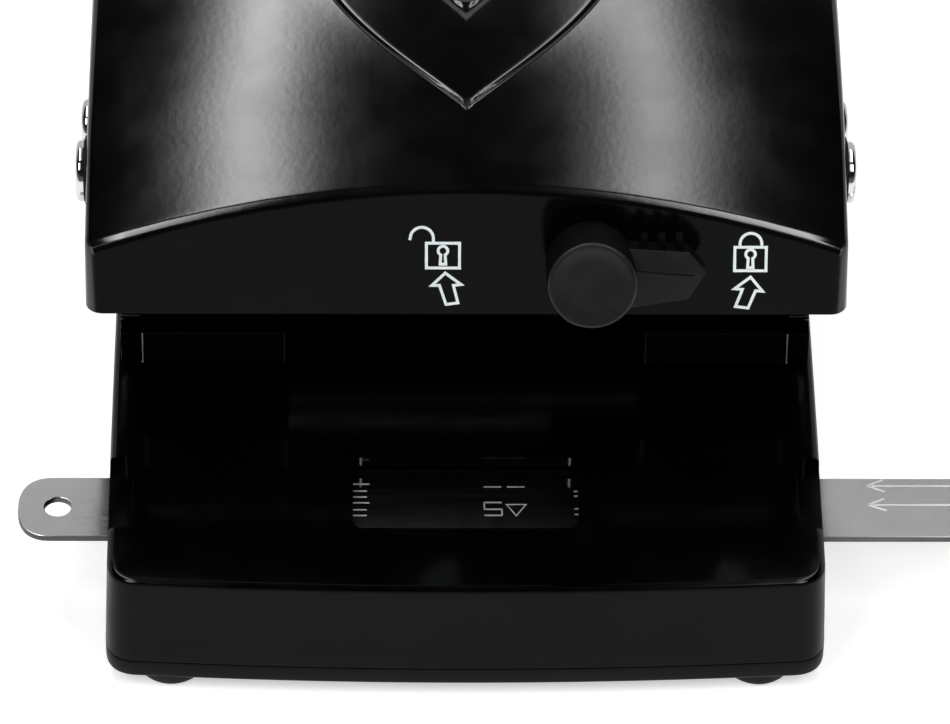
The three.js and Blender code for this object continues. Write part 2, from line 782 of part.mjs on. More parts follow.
// Everything behind the lever's tilted front plane, its upright corners rounded off
function behindFace(inset) {
  const deep = 2 * leverLength;
  const half = leverHalf - inset;
  const corner = Math.max(faceEdge - inset, 4 * runningGap / 3);
  const shape = roundedRectangle(-half, half, inset, deep, corner);
  const options = { depth: 2 * deep, bevelEnabled: false, curveSegments: cornerSteps };
  const geometry = new THREE.ExtrudeGeometry(shape, options).translate(0, 0, -deep);
  const frame = new THREE.Matrix4().makeBasis(new THREE.Vector3(1, 0, 0), faceOut.clone().negate(), faceUp);
  frame.setPosition(0, -faceFoot, faceFootHeight);
  return solidOf(geometry.applyMatrix4(frame));
}

function leverShell() {
  const start = -faceFoot - runningGap;
  const outside = leverBody(0, start, skirtLine, panelSink);
  const inside = leverBody(-leverSheet, start, () => -leverLength / 4, panelSink);
  const hollow = inside.intersect(behindFace(leverSheet));
  let shell = outside.intersect(behindFace(0)).subtract(hollow);
  for (const [ahead, height] of [[pivotAhead, pivotHeight], [driveAhead, driveHeight]]) {
    const bore = alongX(rod(shaftRadius + runningGap, -leverHalf - overrun, leverHalf + overrun));
    shell = shell.subtract(move(bore, 0, -ahead, height));
  }
  const knobBore = rod(lockShaftRadius + runningGap, -2 * overrun, 2 * overrun);
  return shell.subtract(ontoFace(knobBore));
}

// The knob's own frame: Z out of the lever's face, X to the right, Y up the face
const knobFrame = new THREE.Matrix4().makeBasis(new THREE.Vector3(1, 0, 0), faceUp, faceOut);
const knobFoot = new THREE.Vector3(knobSide, -faceFoot, faceFootHeight).addScaledVector(faceUp, knobRise);
knobFrame.setPosition(knobFoot);

function ontoFace(solid) {
  return solid.transform(knobFrame.toArray());
}

// Plastic cover pulled over the end of the handle
function handleGrip() {
  const start = leverRear - gripLength;
  const fit = runningGap;
  const lower = (y) => skirtLine(y) - runningGap;
  const outside = leverBody(fit + gripThickness, start, lower, 0);
  const inside = leverBody(fit, start - overrun, () => -leverLength / 4, 0);
  return outside.subtract(inside);
}

// Knob: a round head on a post, with a pointer blade beside it
function lockKnob() {
  const bladeTop = knobReach - bladeBehind;
  const bladeLow = bladeTop - bladeThickness;
  const dish = bladeThickness / 8;
  const head = turned([[0, bladeLow], [knobRadius, bladeLow], [knobRadius, knobReach - dish],
    [knobRadius - dish, knobReach], [0, knobReach]]);
  const post = rod(knobPost, washerThickness, bladeLow + washerThickness);
  const half = bladeWidth / 2;
  const shoulder = bladeLength - half;
  const outline = [[0, -half], [shoulder, -half], [bladeLength, -half / 4], [bladeLength, half / 4],
    [shoulder, half], [0, half]];
  const blade = prismZ(shapeOf(outline), bladeLow, bladeTop);
  let knob = joined([head, post, blade]);
  const ribs = 3;
  const pitch = (shoulder - knobRadius) / ribs;
  for (let i = 0; i < ribs; i++) {
    const x = knobRadius + pitch * (i + 0.5);
    const thick = pitch / 5;
    const rib = box(x - thick, x + thick, half - thick, half + pitch / 3, bladeLow, bladeTop - thick);
    knob = knob.add(rib);
  }
  return knob;
}

function lockShaft() {
  return rod(lockShaftRadius, -lockShaftDepth, washerThickness);
}

// Cam on the inner end of the knob's shaft, whose lobe stands over the catch while the knob points right
function lockCam() {
  const half = camHub / 2;
  const tip = camReach;
  const lobe = prismZ(shapeOf([[-half, 0], [-half, -tip + half / 2], [-half / 2, -tip], [half / 2, -tip],
    [half, -tip + half / 2], [half, 0]]), -camDepth - camThickness, -camDepth);
  const hub = rod(camHub, -camDepth - camThickness, -camDepth);
  const bore = rod(lockShaftRadius + runningGap, -camDepth - overrun, -camDepth + overrun);
  return hub.add(lobe).subtract(bore);
}

function knobClip() {
  const low = -leverSheet - runningGap - clipThickness;
  return ring(camHub, lockShaftRadius + runningGap, low, low + clipThickness);
}

// Catch plate on the right block, below the cam's lobe
function lockCatch() {
  const front = -cheekReach + 1.5 * catchThickness;
  const rear = front + 5 * catchThickness;
  const reach = knobSide - camHub;
  const foot = box(reach, blockInner + 5 * catchThickness, front, rear, blockTop, blockTop + catchThickness);
  const tongue = box(reach, knobSide + camHub, front, rear, blockTop, catchTop);
  return foot.add(tongue);
}

function frameScrew([x, y]) {
  const head = screwHeadHeight;
  const screw = turned([[0, -dieDepth], [screwRadius, -dieDepth], [screwRadius, webThickness],
    [screwHeadRadius, webThickness], [screwHeadRadius, webThickness + head / 2],
    [screwHeadRadius / 2, webThickness + head], [0, webThickness + head]], smallSteps);
  return move(screw, x, y, 0);
}

// Assembly
const punch = new THREE.Group();
const names = { "-1": "left", 1: "right" };
const add = (name, solid, material) => punch.add(piece(name, solid, material));

add("base_shell", baseShell(), materials.enamel);
add("punch_frame", punchFrame(), materials.enamel);
add("guide_channel", guideChannel(), materials.steel);
add("detent_spring", detentSpring(), materials.spring);
add("guide_bar", guideBar(), materials.steel);
add("guide_stop", guideStop(), materials.plastic);
add("chip_tray", chipTray(), materials.plastic);
add("lever_shell", leverShell(), materials.leverPaint);
add("handle_grip", handleGrip(), materials.plastic);
add("pivot_shaft", crossShaft(pivotAhead, pivotHeight, washerFace), materials.steel);
add("drive_shaft", crossShaft(driveAhead, driveHeight, leverHalf), materials.steel);
add("lock_catch", lockCatch(), materials.steel);

for (const side of [-1, 1]) {
  const hand = names[side];
  add(hand + "_guide_block", guideBlock(side), materials.enamel);
  add(hand + "_die", die(side), materials.steel);
  add(hand + "_punch_pin", punchPin(side), materials.steel);
  add(hand + "_spring_clip", springClip(side), materials.spring);
  add(hand + "_return_spring", returnSpring(side), materials.spring);
  add(hand + "_pivot_washer", shaftWasher(side), materials.rubber);
  add(hand + "_pivot_bush", pivotBush(side), materials.bronze);
  add(hand + "_pivot_head",
    shaftHead(side, pivotHeadRadius, pivotHeadHeight, pivotAhead, pivotHeight, washerFace), materials.chrome);
  add(hand + "_drive_head",
    shaftHead(side, driveHeadRadius, driveHeadHeight, driveAhead, driveHeight, leverHalf), materials.chrome);
  add(hand + "_press_roller", pressRoller(side), materials.steel);
  add(hand + "_block_screw", cheekScrew(side, -cheekReach / 2), materials.steel);
  for (const [row, y] of [["front", -frontReach + footInset], ["rear", rearReach - footInset]]) {
    const rest = new THREE.Mesh(geometryOf(foot()), materials.rubber);
    rest.name = row + "_" + hand + "_foot";
    rest.position.set(side * (baseHalf - footInset), y, trayBottom);
    punch.add(rest);
  }
}
screwPlaces.forEach((place, i) => add("frame_screw_" + (i + 1), frameScrew(place), materials.steel));

const lock = new THREE.Group();
lock.applyMatrix4(knobFrame);
lock.add(piece("lock_knob", lockKnob(), materials.plastic));
lock.add(piece("lock_shaft", lockShaft(), materials.steel));
lock.add(piece("lock_cam", lockCam(), materials.steel));
lock.add(piece("knob_clip", knobClip(), materials.spring));
punch.add(lock);

console.log("least gap between the turns of a return spring: " + springGap().toFixed(2) + " mm");

export default punch;
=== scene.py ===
"""Looks of the heavy duty two hole punch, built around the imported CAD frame.

Shapes are worked out in millimetres, in the frame's axes: X to the user's right, Y away from the user
and Z up, with the origin midway between the two pins on the face of the paper table.
"""
import json
import math

import bpy
import numpy as np
from mathutils import Matrix, Vector


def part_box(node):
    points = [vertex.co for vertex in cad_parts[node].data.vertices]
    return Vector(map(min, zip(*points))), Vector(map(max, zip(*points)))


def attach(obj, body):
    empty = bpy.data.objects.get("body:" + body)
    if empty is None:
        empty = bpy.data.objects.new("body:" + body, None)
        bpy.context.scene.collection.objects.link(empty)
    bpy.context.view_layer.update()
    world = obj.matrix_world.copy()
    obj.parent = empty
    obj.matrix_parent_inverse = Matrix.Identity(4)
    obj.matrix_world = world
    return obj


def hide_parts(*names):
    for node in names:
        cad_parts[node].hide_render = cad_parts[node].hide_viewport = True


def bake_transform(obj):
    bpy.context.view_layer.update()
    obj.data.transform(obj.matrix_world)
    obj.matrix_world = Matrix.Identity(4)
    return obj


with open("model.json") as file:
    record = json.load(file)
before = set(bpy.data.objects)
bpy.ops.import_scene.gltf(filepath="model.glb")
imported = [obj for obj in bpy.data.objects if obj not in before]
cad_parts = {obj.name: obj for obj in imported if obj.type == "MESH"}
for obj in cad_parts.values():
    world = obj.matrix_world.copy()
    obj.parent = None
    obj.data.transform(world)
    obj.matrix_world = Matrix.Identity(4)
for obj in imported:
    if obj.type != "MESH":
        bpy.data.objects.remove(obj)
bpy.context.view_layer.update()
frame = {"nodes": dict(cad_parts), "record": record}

MM = 0.001

# Photograph and camera
PHOTO_WIDTH = 950
SENSOR = 36.0
FOCAL_PIXELS = 5990.0
CAMERA_PLACE = (-12.73, -712.17, 633.51)
CAMERA_DOWN = 42.495
CAMERA_YAW = -1.200
CAMERA_ROLL = 0.9

# Base, chip tray and guide bar, as the photograph shows them, which is up to 2 mm off the CAD solids
SHEET = 1.6
FIT = 0.3
BASE_HALF = 55.5
BASE_FLARE = 0.7
BASE_FRONT = 71.7
BASE_REAR = 96.0
FRONT_BOW = 1.6
SIDE_BOW = 0.5
BASE_CORNER = 5.4
BASE_EDGE = 0.9
SHELL_BOTTOM = -16.9
SHELL_BREAK = 0.35
EDGE_BREAK = 0.3
CAP_INSET = 0.4
TABLE_THICKNESS = 2.6
WALL = 2.5
TRAY_BOTTOM = -20.2
TRAY_EDGE = 0.7
TRAY_FLOOR = 1.6
TRAY_RIM_HEIGHT = 4.0
TRAY_RIM = 1.6
BAR_Y = -50.4
BAR_TOP = -3.1
BAR_BOTTOM = -4.6
BAR_WIDTH = 13.0
BAR_SEEN = 1.1
BAR_ROUND = 5.4
BAR_HOLE = 2.05
BAR_HOLE_INSET = 6.1
SLOT_HALF = 6.9
SLOT_CORNER = 0.3
SLOT_REACH = 1.5
SEAM = 0.02
WINDOW_HALF = 17.2
WINDOW_DEPTH = 15.6
WINDOW_CORNER = 1.6
NOTCH_DEPTH = 4.6
NOTCH_SINK = 2.2
PUNCH_X = 40.0
CHEEK_INNER = 50.0
MARGIN_DEPTH = 12.0
SEAT_REAR = 31.8
SEAT_SINK = 0.4
DIE_RADIUS = 7.0
OVERRUN = 4

# Lever and its tilted front
FACE_TILT = math.radians(65)
FACE_FOOT = np.array([0.0, -38.5, 26.0])
FACE_UP = np.array([0.0, math.cos(FACE_TILT), math.sin(FACE_TILT)])
FACE_OUT = np.array([0.0, -math.sin(FACE_TILT), math.cos(FACE_TILT)])
FACE_REACH = 12.5
FACE_MIDDLE = 8
LEVER_HALF = 57.75
LEVER_FRONT = 33.8
LEVER_REAR = 168.0
LEVER_FRONT_HEIGHT = 35.3
LEVER_RISE = 19.7
LEVER_CROWN = 5.3
LEVER_EDGE = 1.4
HANDLE_HALF = 29.0
NECK_START = 26.0
NECK_END = 82.0
HANDLE_ROUND = 24.0
SKIRT_DROP = 14.0
GRIP_START = 94.0
GRIP_THICKNESS = 2.0
GRIP_LIP = 0.6
FINGER_GROOVES = range(104, 130, 5)
FINGER_DEPTH = 0.45
FINGER_WIDTH = 1.3

# Bolts: place of each cross shaft in Y and Z, then radius and height of its heads and the gap under them
PIVOT = ((-16.9, 36.0), 4.8, 1.4, 0.4)
DRIVE = ((-0.2, 31.0), 4.1, 1.75, 0.0)

# Lock knob
KNOB_SIDE = 18.4
KNOB_RISE = 9.6
KNOB_RADIUS = 6.7
KNOB_REACH = 17.0
KNOB_RIM = 0.5
KNOB_DISH = 0.2
KNOB_POST = 4.4
BLADE_TOP = 10.3
BLADE_THICKNESS = 5.0
BLADE_LENGTH = 17.2
BLADE_POINT = 2.6
BLADE_ROOT = 2
BLADE_WIDTH = 8.2
BLADE_SLOPE = 0.45
KNOB_RIBS = 3

# Feet and return springs
FOOT_BOTTOM = -23.5
FOOT_SIDE = 45.0
FOOT_Y = -62.4
FOOT_HALF_WIDTH = 6.2
FOOT_HALF_LENGTH = 7.2
SPRING_LOW = 14.5
SPRING_RADIUS = 4.5
SPRING_WIRE = 1.1
SPRING_TURNS = 4

HANDS = ((-1, "left"), (1, "right"))


# Small numeric helpers

def smooth_through(points, value):
    """A smooth line through points of growing first value, level where it turns round."""
    xs, ys = np.array(points, float).T
    chords = np.diff(ys) / np.diff(xs)
    before = np.concatenate([chords[:1], chords])
    after = np.concatenate([chords, chords[-1:]])
    both = before + after
    slopes = np.where(before * after > 0, 2 * before * after / np.where(both == 0, 1, both), 0)
    value = np.asarray(value, float)
    i = np.clip(np.searchsorted(xs, value, side="left") - 1, 0, len(xs) - 2)
    span = xs[i + 1] - xs[i]
    t = np.clip((value - xs[i]) / span, 0, 1)
    bend = t * (1 - t) * span * ((1 - t) * slopes[i] - t * slopes[i + 1])
    return ys[i] + (ys[i + 1] - ys[i]) * t * t * (3 - 2 * t) + bend


def ease(low, high, value):
    t = np.clip((value - low) / (high - low), 0, 1)
    return t * t * (3 - 2 * t)


def arc(centre, radius, start, end, steps):
    """Points of an arc in a plane, between two angles in degrees."""
    angles = np.radians(np.linspace(start, end, steps + 1))
    return [(centre[0] + radius * math.cos(a), centre[1] + radius * math.sin(a)) for a in angles]


def unit(vectors):
    return vectors / np.linalg.norm(vectors, axis=-1, keepdims=True)


def quarter_round(radius, steps=8):
    """Inset and rise of the points of a rounded edge, after the one where it begins."""
    turns = [math.pi / 2 * i / steps for i in range(1, steps + 1)]
    return [(radius * (1 - math.cos(a)), radius * math.sin(a)) for a in turns]


# Making pieces

def new_mesh(name, points, faces):
    """A mesh whose points are given in millimetres."""
    mesh = bpy.data.meshes.new(name)
    mesh.from_pydata([tuple(float(c) * MM for c in p) for p in points], [], faces)
    return mesh


def new_object(name, data):
    obj = bpy.data.objects.new(name, data)
    bpy.context.scene.collection.objects.link(obj)
    return obj


def mesh_piece(name, points, faces, material, body, stands_for=None, slot=None, smooth=True):
    """A piece that rides on a body and stands for a CAD node, where these are given. Its slot is not used."""
    mesh = new_mesh(name, points, faces)
    mesh.validate()
    mesh.polygons.foreach_set("use_smooth", [smooth] * len(mesh.polygons))
    mesh.update()
    obj = new_object(name, mesh)
    mesh.materials.append(material)
    if body:
        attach(obj, body)
    if stands_for:
        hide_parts(stands_for)
    return obj


def dress_faces(piece, material, chosen):
    """Gives a piece a second material on the faces that a test picks."""
    piece.data.materials.append(material)
    for face in piece.data.polygons:
        if chosen(face):
            face.material_index = 1


def grid_faces(rows, columns, closed=False):
    """Quads of a grid of points, row by row; a closed grid joins its last column to its first."""
    faces = []
    for row in range(0, (rows - 1) * columns, columns):
        for c in range(columns if closed else columns - 1):
            a, b = row + c, row + (c + 1) % columns
            faces.append((a, b, b + columns, a + columns))
    return faces


def tube_faces(rows, columns):
    """Faces of a closed grid of points whose first and last rows are shut."""
    count = rows * columns
    ends = [tuple(range(columns))[::-1], tuple(range(count - columns, count))]
    return grid_faces(rows, columns, closed=True) + ends


def ring_stack(rings):
    """Points and faces through closed outlines stacked at their heights."""
    points = [(x, y, z) for outline, z in rings for x, y in outline]
    return points, tube_faces(len(rings), len(rings[0][0]))


def prism(outline, low, high):
    """Points and faces of a flat outline drawn out along Z."""
    return ring_stack([(outline, low), (outline, high)])


def sheet(outer, inner):
    """Points and faces between two grids of points, joined along both sides and shut at the last row."""
    rows, columns = len(outer), len(outer[0])
    count = rows * columns
    last = count - columns
    points = [p for row in outer + inner for p in row]
    faces = [f[::-1] for f in grid_faces(rows, columns)]
    faces += [tuple(count + i for i in f) for f in grid_faces(rows, columns)]
    faces += [tuple(range(last, count))[::-1], tuple(range(count + last, 2 * count)),
              (last, count - 1, 2 * count - 1, count + last)]
    for a in range(0, last, columns):
        b = a + columns
        faces.append((a, b, count + b, count + a))
        a, b = b - 1, b + columns - 1
        faces.append((b, a, count + a, count + b))
    return points, faces


def lathe(profile, steps=64):
    """Points and faces turned about Z, from a profile of radius and height whose ends lie on the axis."""
    (_, low), *rings, (_, high) = profile
    turns = [2 * math.pi * k / steps for k in range(steps)]
    points = [(radius * math.cos(a), radius * math.sin(a), height) for radius, height in rings for a in turns]
    count = len(points)
    faces = grid_faces(len(rings), steps, closed=True)
    for k in range(steps):
        n = (k + 1) % steps
        faces += [(count, n, k), (count - steps + k, count - steps + n, count + 1)]
    return points + [(0, 0, low), (0, 0, high)], faces


def rod(radius, low, high, steps=48):
    return lathe([(0, low), (radius, low), (radius, high), (0, high)], steps)


def rectangle(x0, x1, y0, y1):
    return [(x0, y0), (x1, y0), (x1, y1), (x0, y1)]


def placed(points, origin, right, up, out):
    """Points of a local frame set in the world."""
    axes = [np.array(axis) for axis in (right, up, out)]
    return [np.array(origin) + p[0] * axes[0] + p[1] * axes[1] + p[2] * axes[2] for p in points]


def on_face(points, side, rise, out=0.0):
    """Points drawn on the lever's tilted front, from a place on it, set in the world."""
    origin = FACE_FOOT + np.array([side, 0, 0]) + FACE_UP * rise + FACE_OUT * out
    return placed(points, origin, (1, 0, 0), FACE_UP, FACE_OUT)


def cut(obj, name, points, faces):
    """Cuts a solid out of a piece and keeps the result in its mesh."""
    mesh = new_mesh(name, points, faces)
    tool = new_object(name, mesh)
    step = obj.modifiers.new(name, "BOOLEAN")
    step.object = tool
    step.operation = "DIFFERENCE"
    step.solver = "EXACT"
    graph = bpy.context.evaluated_depsgraph_get()
    result = bpy.data.meshes.new_from_object(obj.evaluated_get(graph))
    obj.modifiers.remove(step)
    old = obj.data
    obj.data = result
    bpy.data.meshes.remove(old)
    bpy.data.objects.remove(tool)
    bpy.data.meshes.remove(mesh)


# Nodes

SHARP_ANGLE = math.radians(30)
NOISE_LOW = 0.3
NOISE_HIGH = 0.7


def feed(tree, node, inputs):
    """Sets a node's inputs, each to a value or to another node's output."""
    for key, value in inputs.items():
        if isinstance(value, bpy.types.NodeSocket):
            tree.links.new(value, node.inputs[key])
        else:
            node.inputs[key].default_value = value


def add_node(tree, kind, inputs):
    node = tree.nodes.new(kind)
    feed(tree, node, inputs)
    return node


def math_node(tree, operation, a, b=0.0):
    node = add_node(tree, "ShaderNodeMath", {0: a, 1: b})
    node.operation = operation
    return node.outputs[0]


def map_range(tree, source, low, high, first, last, curve="LINEAR"):
    node = add_node(tree, "ShaderNodeMapRange", {
        "Value": source, "From Min": low, "From Max": high, "To Min": first, "To Max": last})
    node.interpolation_type = curve
    return node.outputs["Result"]


def smooth_by_angle():
    """A node group that shades faces smooth and keeps edges sharp beyond an angle."""
    group = bpy.data.node_groups.new("smooth_by_angle", "GeometryNodeTree")
    for way in ("INPUT", "OUTPUT"):
        group.interface.new_socket("Geometry", in_out=way, socket_type="NodeSocketGeometry")
    start = group.nodes.new("NodeGroupInput")
    plain = add_node(group, "GeometryNodeRemoveAttribute", {
        "Geometry": start.outputs[0], "Name": "custom_normal"})
    smooth = add_node(group, "GeometryNodeSetShadeSmooth", {"Geometry": plain.outputs["Geometry"]})
    angle = group.nodes.new("GeometryNodeInputMeshEdgeAngle")
    beyond = add_node(group, "FunctionNodeCompare", {0: angle.outputs["Unsigned Angle"], 1: SHARP_ANGLE})
    beyond.data_type = "FLOAT"
    beyond.operation = "GREATER_THAN"
    sharp = add_node(group, "GeometryNodeSetShadeSmooth", {
        "Geometry": smooth.outputs["Geometry"], "Selection": beyond.outputs["Result"], "Shade Smooth": False})
    sharp.domain = "EDGE"
    add_node(group, "NodeGroupOutput", {0: sharp.outputs["Geometry"]})
    return group


def soften(obj, width=0, segments=2, angle=35):
    """Rounds a piece's sharp edges by a width in millimetres, if it has one, and shades the rest smooth."""
    if width:
        joined = obj.modifiers.new("weld", "WELD")
        joined.merge_threshold = 1e-6
        bevel = obj.modifiers.new("edges", "BEVEL")
        bevel.width = width * MM
        bevel.segments = segments
        bevel.limit_method = "ANGLE"
        bevel.angle_limit = math.radians(angle)
        bevel.miter_outer = "MITER_ARC"
    shade = obj.modifiers.new("shade", "NODES")
    shade.node_group = bpy.data.node_groups.get("smooth_by_angle") or smooth_by_angle()
    if width:
        flats = obj.modifiers.new("flats", "WEIGHTED_NORMAL")
        flats.keep_sharp = True


# Materials

def new_material(name):
    material = bpy.data.materials.new(name)
    material.use_nodes = True
    tree = material.node_tree
    return material, tree, tree.nodes["Principled BSDF"]


def noise(tree, scale, detail=2.0, rough=0.5, stretch=(1, 1, 1)):
    """Noise in object space, whose scale is in turns per metre."""
    place = tree.nodes.new("ShaderNodeTexCoord")
    mapping = add_node(tree, "ShaderNodeMapping", {"Vector": place.outputs["Object"], "Scale": stretch})
    texture = add_node(tree, "ShaderNodeTexNoise", {
        "Vector": mapping.outputs["Vector"], "Scale": scale, "Detail": detail, "Roughness": rough})
    return texture.outputs["Fac"]


def shades(tree, source, dark, light):
    """Maps noise onto colours between a dark and a light one."""
    ramp = add_node(tree, "ShaderNodeValToRGB", {"Fac": source})
    for stop, place, colour in zip(ramp.color_ramp.elements, (NOISE_LOW, NOISE_HIGH), (dark, light)):
        stop.position = place
        stop.color = (*colour, 1)
    return ramp.outputs["Color"]


def surface(name, colours, drift, rough, patches, layers, specular=0.5, metallic=0.0):
    """A material whose colour, roughness and bumps follow noises, each given as what noise() takes.

    Every layer of bumps is a noise and its height in millimetres.
    """
    material, tree, shader = new_material(name)
    normal = {}
    for texture, height in layers:
        bump = add_node(tree, "ShaderNodeBump", {
            "Distance": height * MM, "Height": noise(tree, *texture), **normal})
        normal = {"Normal": bump.outputs["Normal"]}
    feed(tree, shader, {
        "Base Color": shades(tree, noise(tree, *drift), *colours), "Metallic": metallic,
        "Roughness": map_range(tree, noise(tree, *patches), NOISE_LOW, NOISE_HIGH, *rough),
        "Specular IOR Level": specular, **normal})
    return material


def paint(name, dark, light, rough, specular, peel, height):
    """Sprayed paint: patchy gloss, faint colour drift and the skin of orange peel."""
    layers = (((peel, 1.5), height), ((4.5 * peel, 2), height / 6))
    return surface(name, (dark, light), (45, 3), rough, (160, 3), layers, specular)


def plastic(name, dark, light, rough, specular, grain, height):
    """Moulded plastic or rubber with a fine eroded grain."""
    return surface(name, (dark, light), (70, 4), rough, (220, 3), (((grain, 3, 0.6), height),), specular)


def metal(name, dark, light, rough, scale=900, height=0.004, brushed=(1, 1, 1)):
    """Bare metal with brushing along the axis whose stretch is small."""
    lines = (scale, 3, 0.6, brushed)
    return surface(name, (dark, light), (60, 3), rough, lines, ((lines, height),), metallic=1.0)


def make_materials():
    return {
        "enamel": paint("gloss_enamel", (0.0003, 0.0003, 0.0004), (0.0006, 0.0007, 0.0008),
                        (0.10, 0.15), 0.22, 260, 0.004),
        "walls": paint("base_wall_paint", (0.0022, 0.0025, 0.0024), (0.0032, 0.0036, 0.0034),
                       (0.30, 0.38), 0.06, 700, 0.010),
        "lever": paint("lever_paint", (0.0006, 0.0007, 0.0007), (0.0012, 0.0014, 0.0014),
                       (0.10, 0.14), 0.60, 900, 0.006),
        # The inner coat also stands as painted shade on the lock knob's upright faces and ribs.
        "inside": paint("thin_inner_coat_and_painted_shade", (0.0006, 0.0007, 0.0007), (0.0011, 0.0012, 0.0012),
                        (0.55, 0.70), 0.03, 900, 0.010),
        "plastic": plastic("satin_plastic", (0.0016, 0.0018, 0.0017), (0.0028, 0.0031, 0.0029),
                           (0.36, 0.46), 0.36, 2600, 0.010),
        "tray": plastic("tray_plastic", (0.0026, 0.0029, 0.0028), (0.0038, 0.0042, 0.0040),
                        (0.34, 0.44), 0.10, 1800, 0.010),
        "rubber": plastic("rubber", (0.006, 0.006, 0.006), (0.011, 0.011, 0.011),
                          (0.65, 0.8), 0.2, 1500, 0.03),
        "print": plastic("white_print", (0.80, 0.88, 0.88), (0.90, 0.97, 0.97),
                         (0.45, 0.6), 0.3, 3000, 0.004),
        "steel": metal("brushed_steel", (0.42, 0.42, 0.43), (0.50, 0.50, 0.51), (0.10, 0.16), 1500, 0.0006,
                       (0.04, 1, 1)),
        "dark_edge": metal("dark_bar_edge", (0.05, 0.05, 0.052), (0.11, 0.11, 0.115), (0.30, 0.42), 1800),
        "turned": metal("turned_steel", (0.45, 0.45, 0.46), (0.55, 0.55, 0.56), (0.22, 0.34), 1200),
        "chrome": metal("nickel_plate", (0.52, 0.53, 0.54), (0.60, 0.61, 0.62), (0.06, 0.12), 300, 0.006),
        "spring": metal("spring_steel", (0.32, 0.33, 0.35), (0.46, 0.47, 0.49), (0.24, 0.36), 800),
        "bronze": metal("sintered_bronze", (0.36, 0.23, 0.10), (0.50, 0.34, 0.16), (0.34, 0.5), 1600),
        "groove": metal("engraved_groove", (0.80, 0.81, 0.82), (0.92, 0.92, 0.93), (0.42, 0.6), 2500),
    }


# Lever hood

CLIMB_SHARES = [(-0.04, -0.08), (0, 0.095), (0.016, 0.165), (0.111, 0.569), (0.193, 0.716), (0.3, 0.83),
                (0.42, 0.93), (0.58, 1), (0.8, 0.98), (1, 0.86)]
SKIRT_SHARES = [(-0.06, 0), (0.06, 0), (0.13, 0.55), (0.2, 1), (0.3, 0.9), (0.42, -0.6), (0.5, -1.02),
                (0.62, -1.08), (1, -0.95)]
FACE_FILLET = 1.1
SIDE_FILLET = 2.6
INNER_FACE_FILLET = 0.35
INNER_SIDE_FILLET = 0.45
FILLET_TURN = 1.5
FILLET_HOLD = 0.56
RIM_FLAT = 0.25
FRONT_CROWN = 1.7
FRONT_CROWN_START = 75
FRONT_CROWN_FULL = 15
FLATTER_SHARE = 0.6
CROWN_LEAN_SHARE = 0.96

# V-shaped panels: tip, half width and length
PANEL = (-17.9, 24.0, 30.6)
INSERT = (-0.6, 14.0, 26.2)
V_BEND = 1.7
PANEL_SINK = 0.9
TIP_SINK = 0.18
INSERT_SINK = 0.35
CREASE = 0.42
CREASE_GROOVE = 0.18
CREASE_GROOVE_INSET = 0.45
CREASE_GROOVE_WIDTH = 0.3
LIP_HEIGHT = 0.17
LIP_REACH = 3.2
LIP_FADE = 30
RIB_PITCH = 2.4
RIB_HEIGHT = 0.28
RIB_FADE = (0.6, 1.6)

# How the points of the hood are spread over it
CREASE_STEPS = (-1.6, -1.1, -0.8, -0.6, -0.45, -0.32, -0.2, -0.1,
                0, 0.1, 0.2, 0.32, 0.45, 0.6, 0.8, 1.1, 1.6)
INSERT_STEPS = (-0.9, -0.5, -0.3, -0.1, 0.1, 0.3, 0.5, 0.9)
INNER_SHARE = 0.5
INSERT_SHARES = (0.02, 0.8)
INSERT_ROOM = 0.6
SIDE_SHARES = (0.06, 0.13, 0.21, 0.3, 0.4, 0.52, 0.65, 0.78, 0.9)
LEAST_EDGE = 0.3
LEAST_LIMIT = 0.35
LEAST_SIDE = 0.2
EDGE_TURNS = 8
WALL_STEPS = 7
FILLET_STEPS = 8
STATION_START = -30.0
STATION_STEPS = ((8, 0.6), (30, 0.8), (LEVER_REAR - HANDLE_ROUND - 1, 1.2))
STATION_BLEND = 22.0
HOOD_END_TURNS = 16
GRIP_END_TURNS = 18
GRIP_STEP = 0.7
INNER_PACE = 0.999


def lever_share(y):
    return (y + LEVER_FRONT) / (LEVER_REAR + LEVER_FRONT)


def crown_height(y, half):
    """Height of the top's middle above its side edges, more in front than on the handle."""
    front = FRONT_CROWN * (1 - ease(FRONT_CROWN_FULL, FRONT_CROWN_START, y))
    return (LEVER_CROWN + front) * np.minimum(half / LEVER_HALF + 1 - FLATTER_SHARE, 1)


def middle_line(y):
    return LEVER_FRONT_HEIGHT + LEVER_CROWN + LEVER_RISE * smooth_through(CLIMB_SHARES, lever_share(y))


def skirt_line(y):
    return FACE_FOOT[2] - SKIRT_DROP * smooth_through(SKIRT_SHARES, lever_share(y))


def half_width(y, offset):
    plain = LEVER_HALF + (HANDLE_HALF - LEVER_HALF) * ease(NECK_START, NECK_END, y)
    into = np.maximum(y - (LEVER_REAR - HANDLE_ROUND), 0) / (HANDLE_ROUND + offset)
    return np.maximum((plain + offset) * np.sqrt(np.maximum(1 - into * into, 0)), LEVER_EDGE / 2)


def v_edge(y, tip, half, length):
    """Half the width of a V-shaped panel, negative ahead of its tip."""
    t = np.minimum((y - tip) / length, 1)
    return half * np.where(t < 0, V_BEND * t, V_BEND * t - (V_BEND - 1) * t * t)


def v_slant(y, tip, half, length):
    """How much longer a step across the V is than one square to its edge."""
    t = np.clip((y - tip) / length, 0, 1)
    slope = np.where(y > tip + length, 0, half / length * (V_BEND - 2 * (V_BEND - 1) * t))
    return np.sqrt(1 + slope * slope)


def inside_v(x, y, panel):
    """Distance inside the edge of a V-shaped panel, square to that edge."""
    return (v_edge(y, *panel) - np.abs(x)) / v_slant(y, *panel)


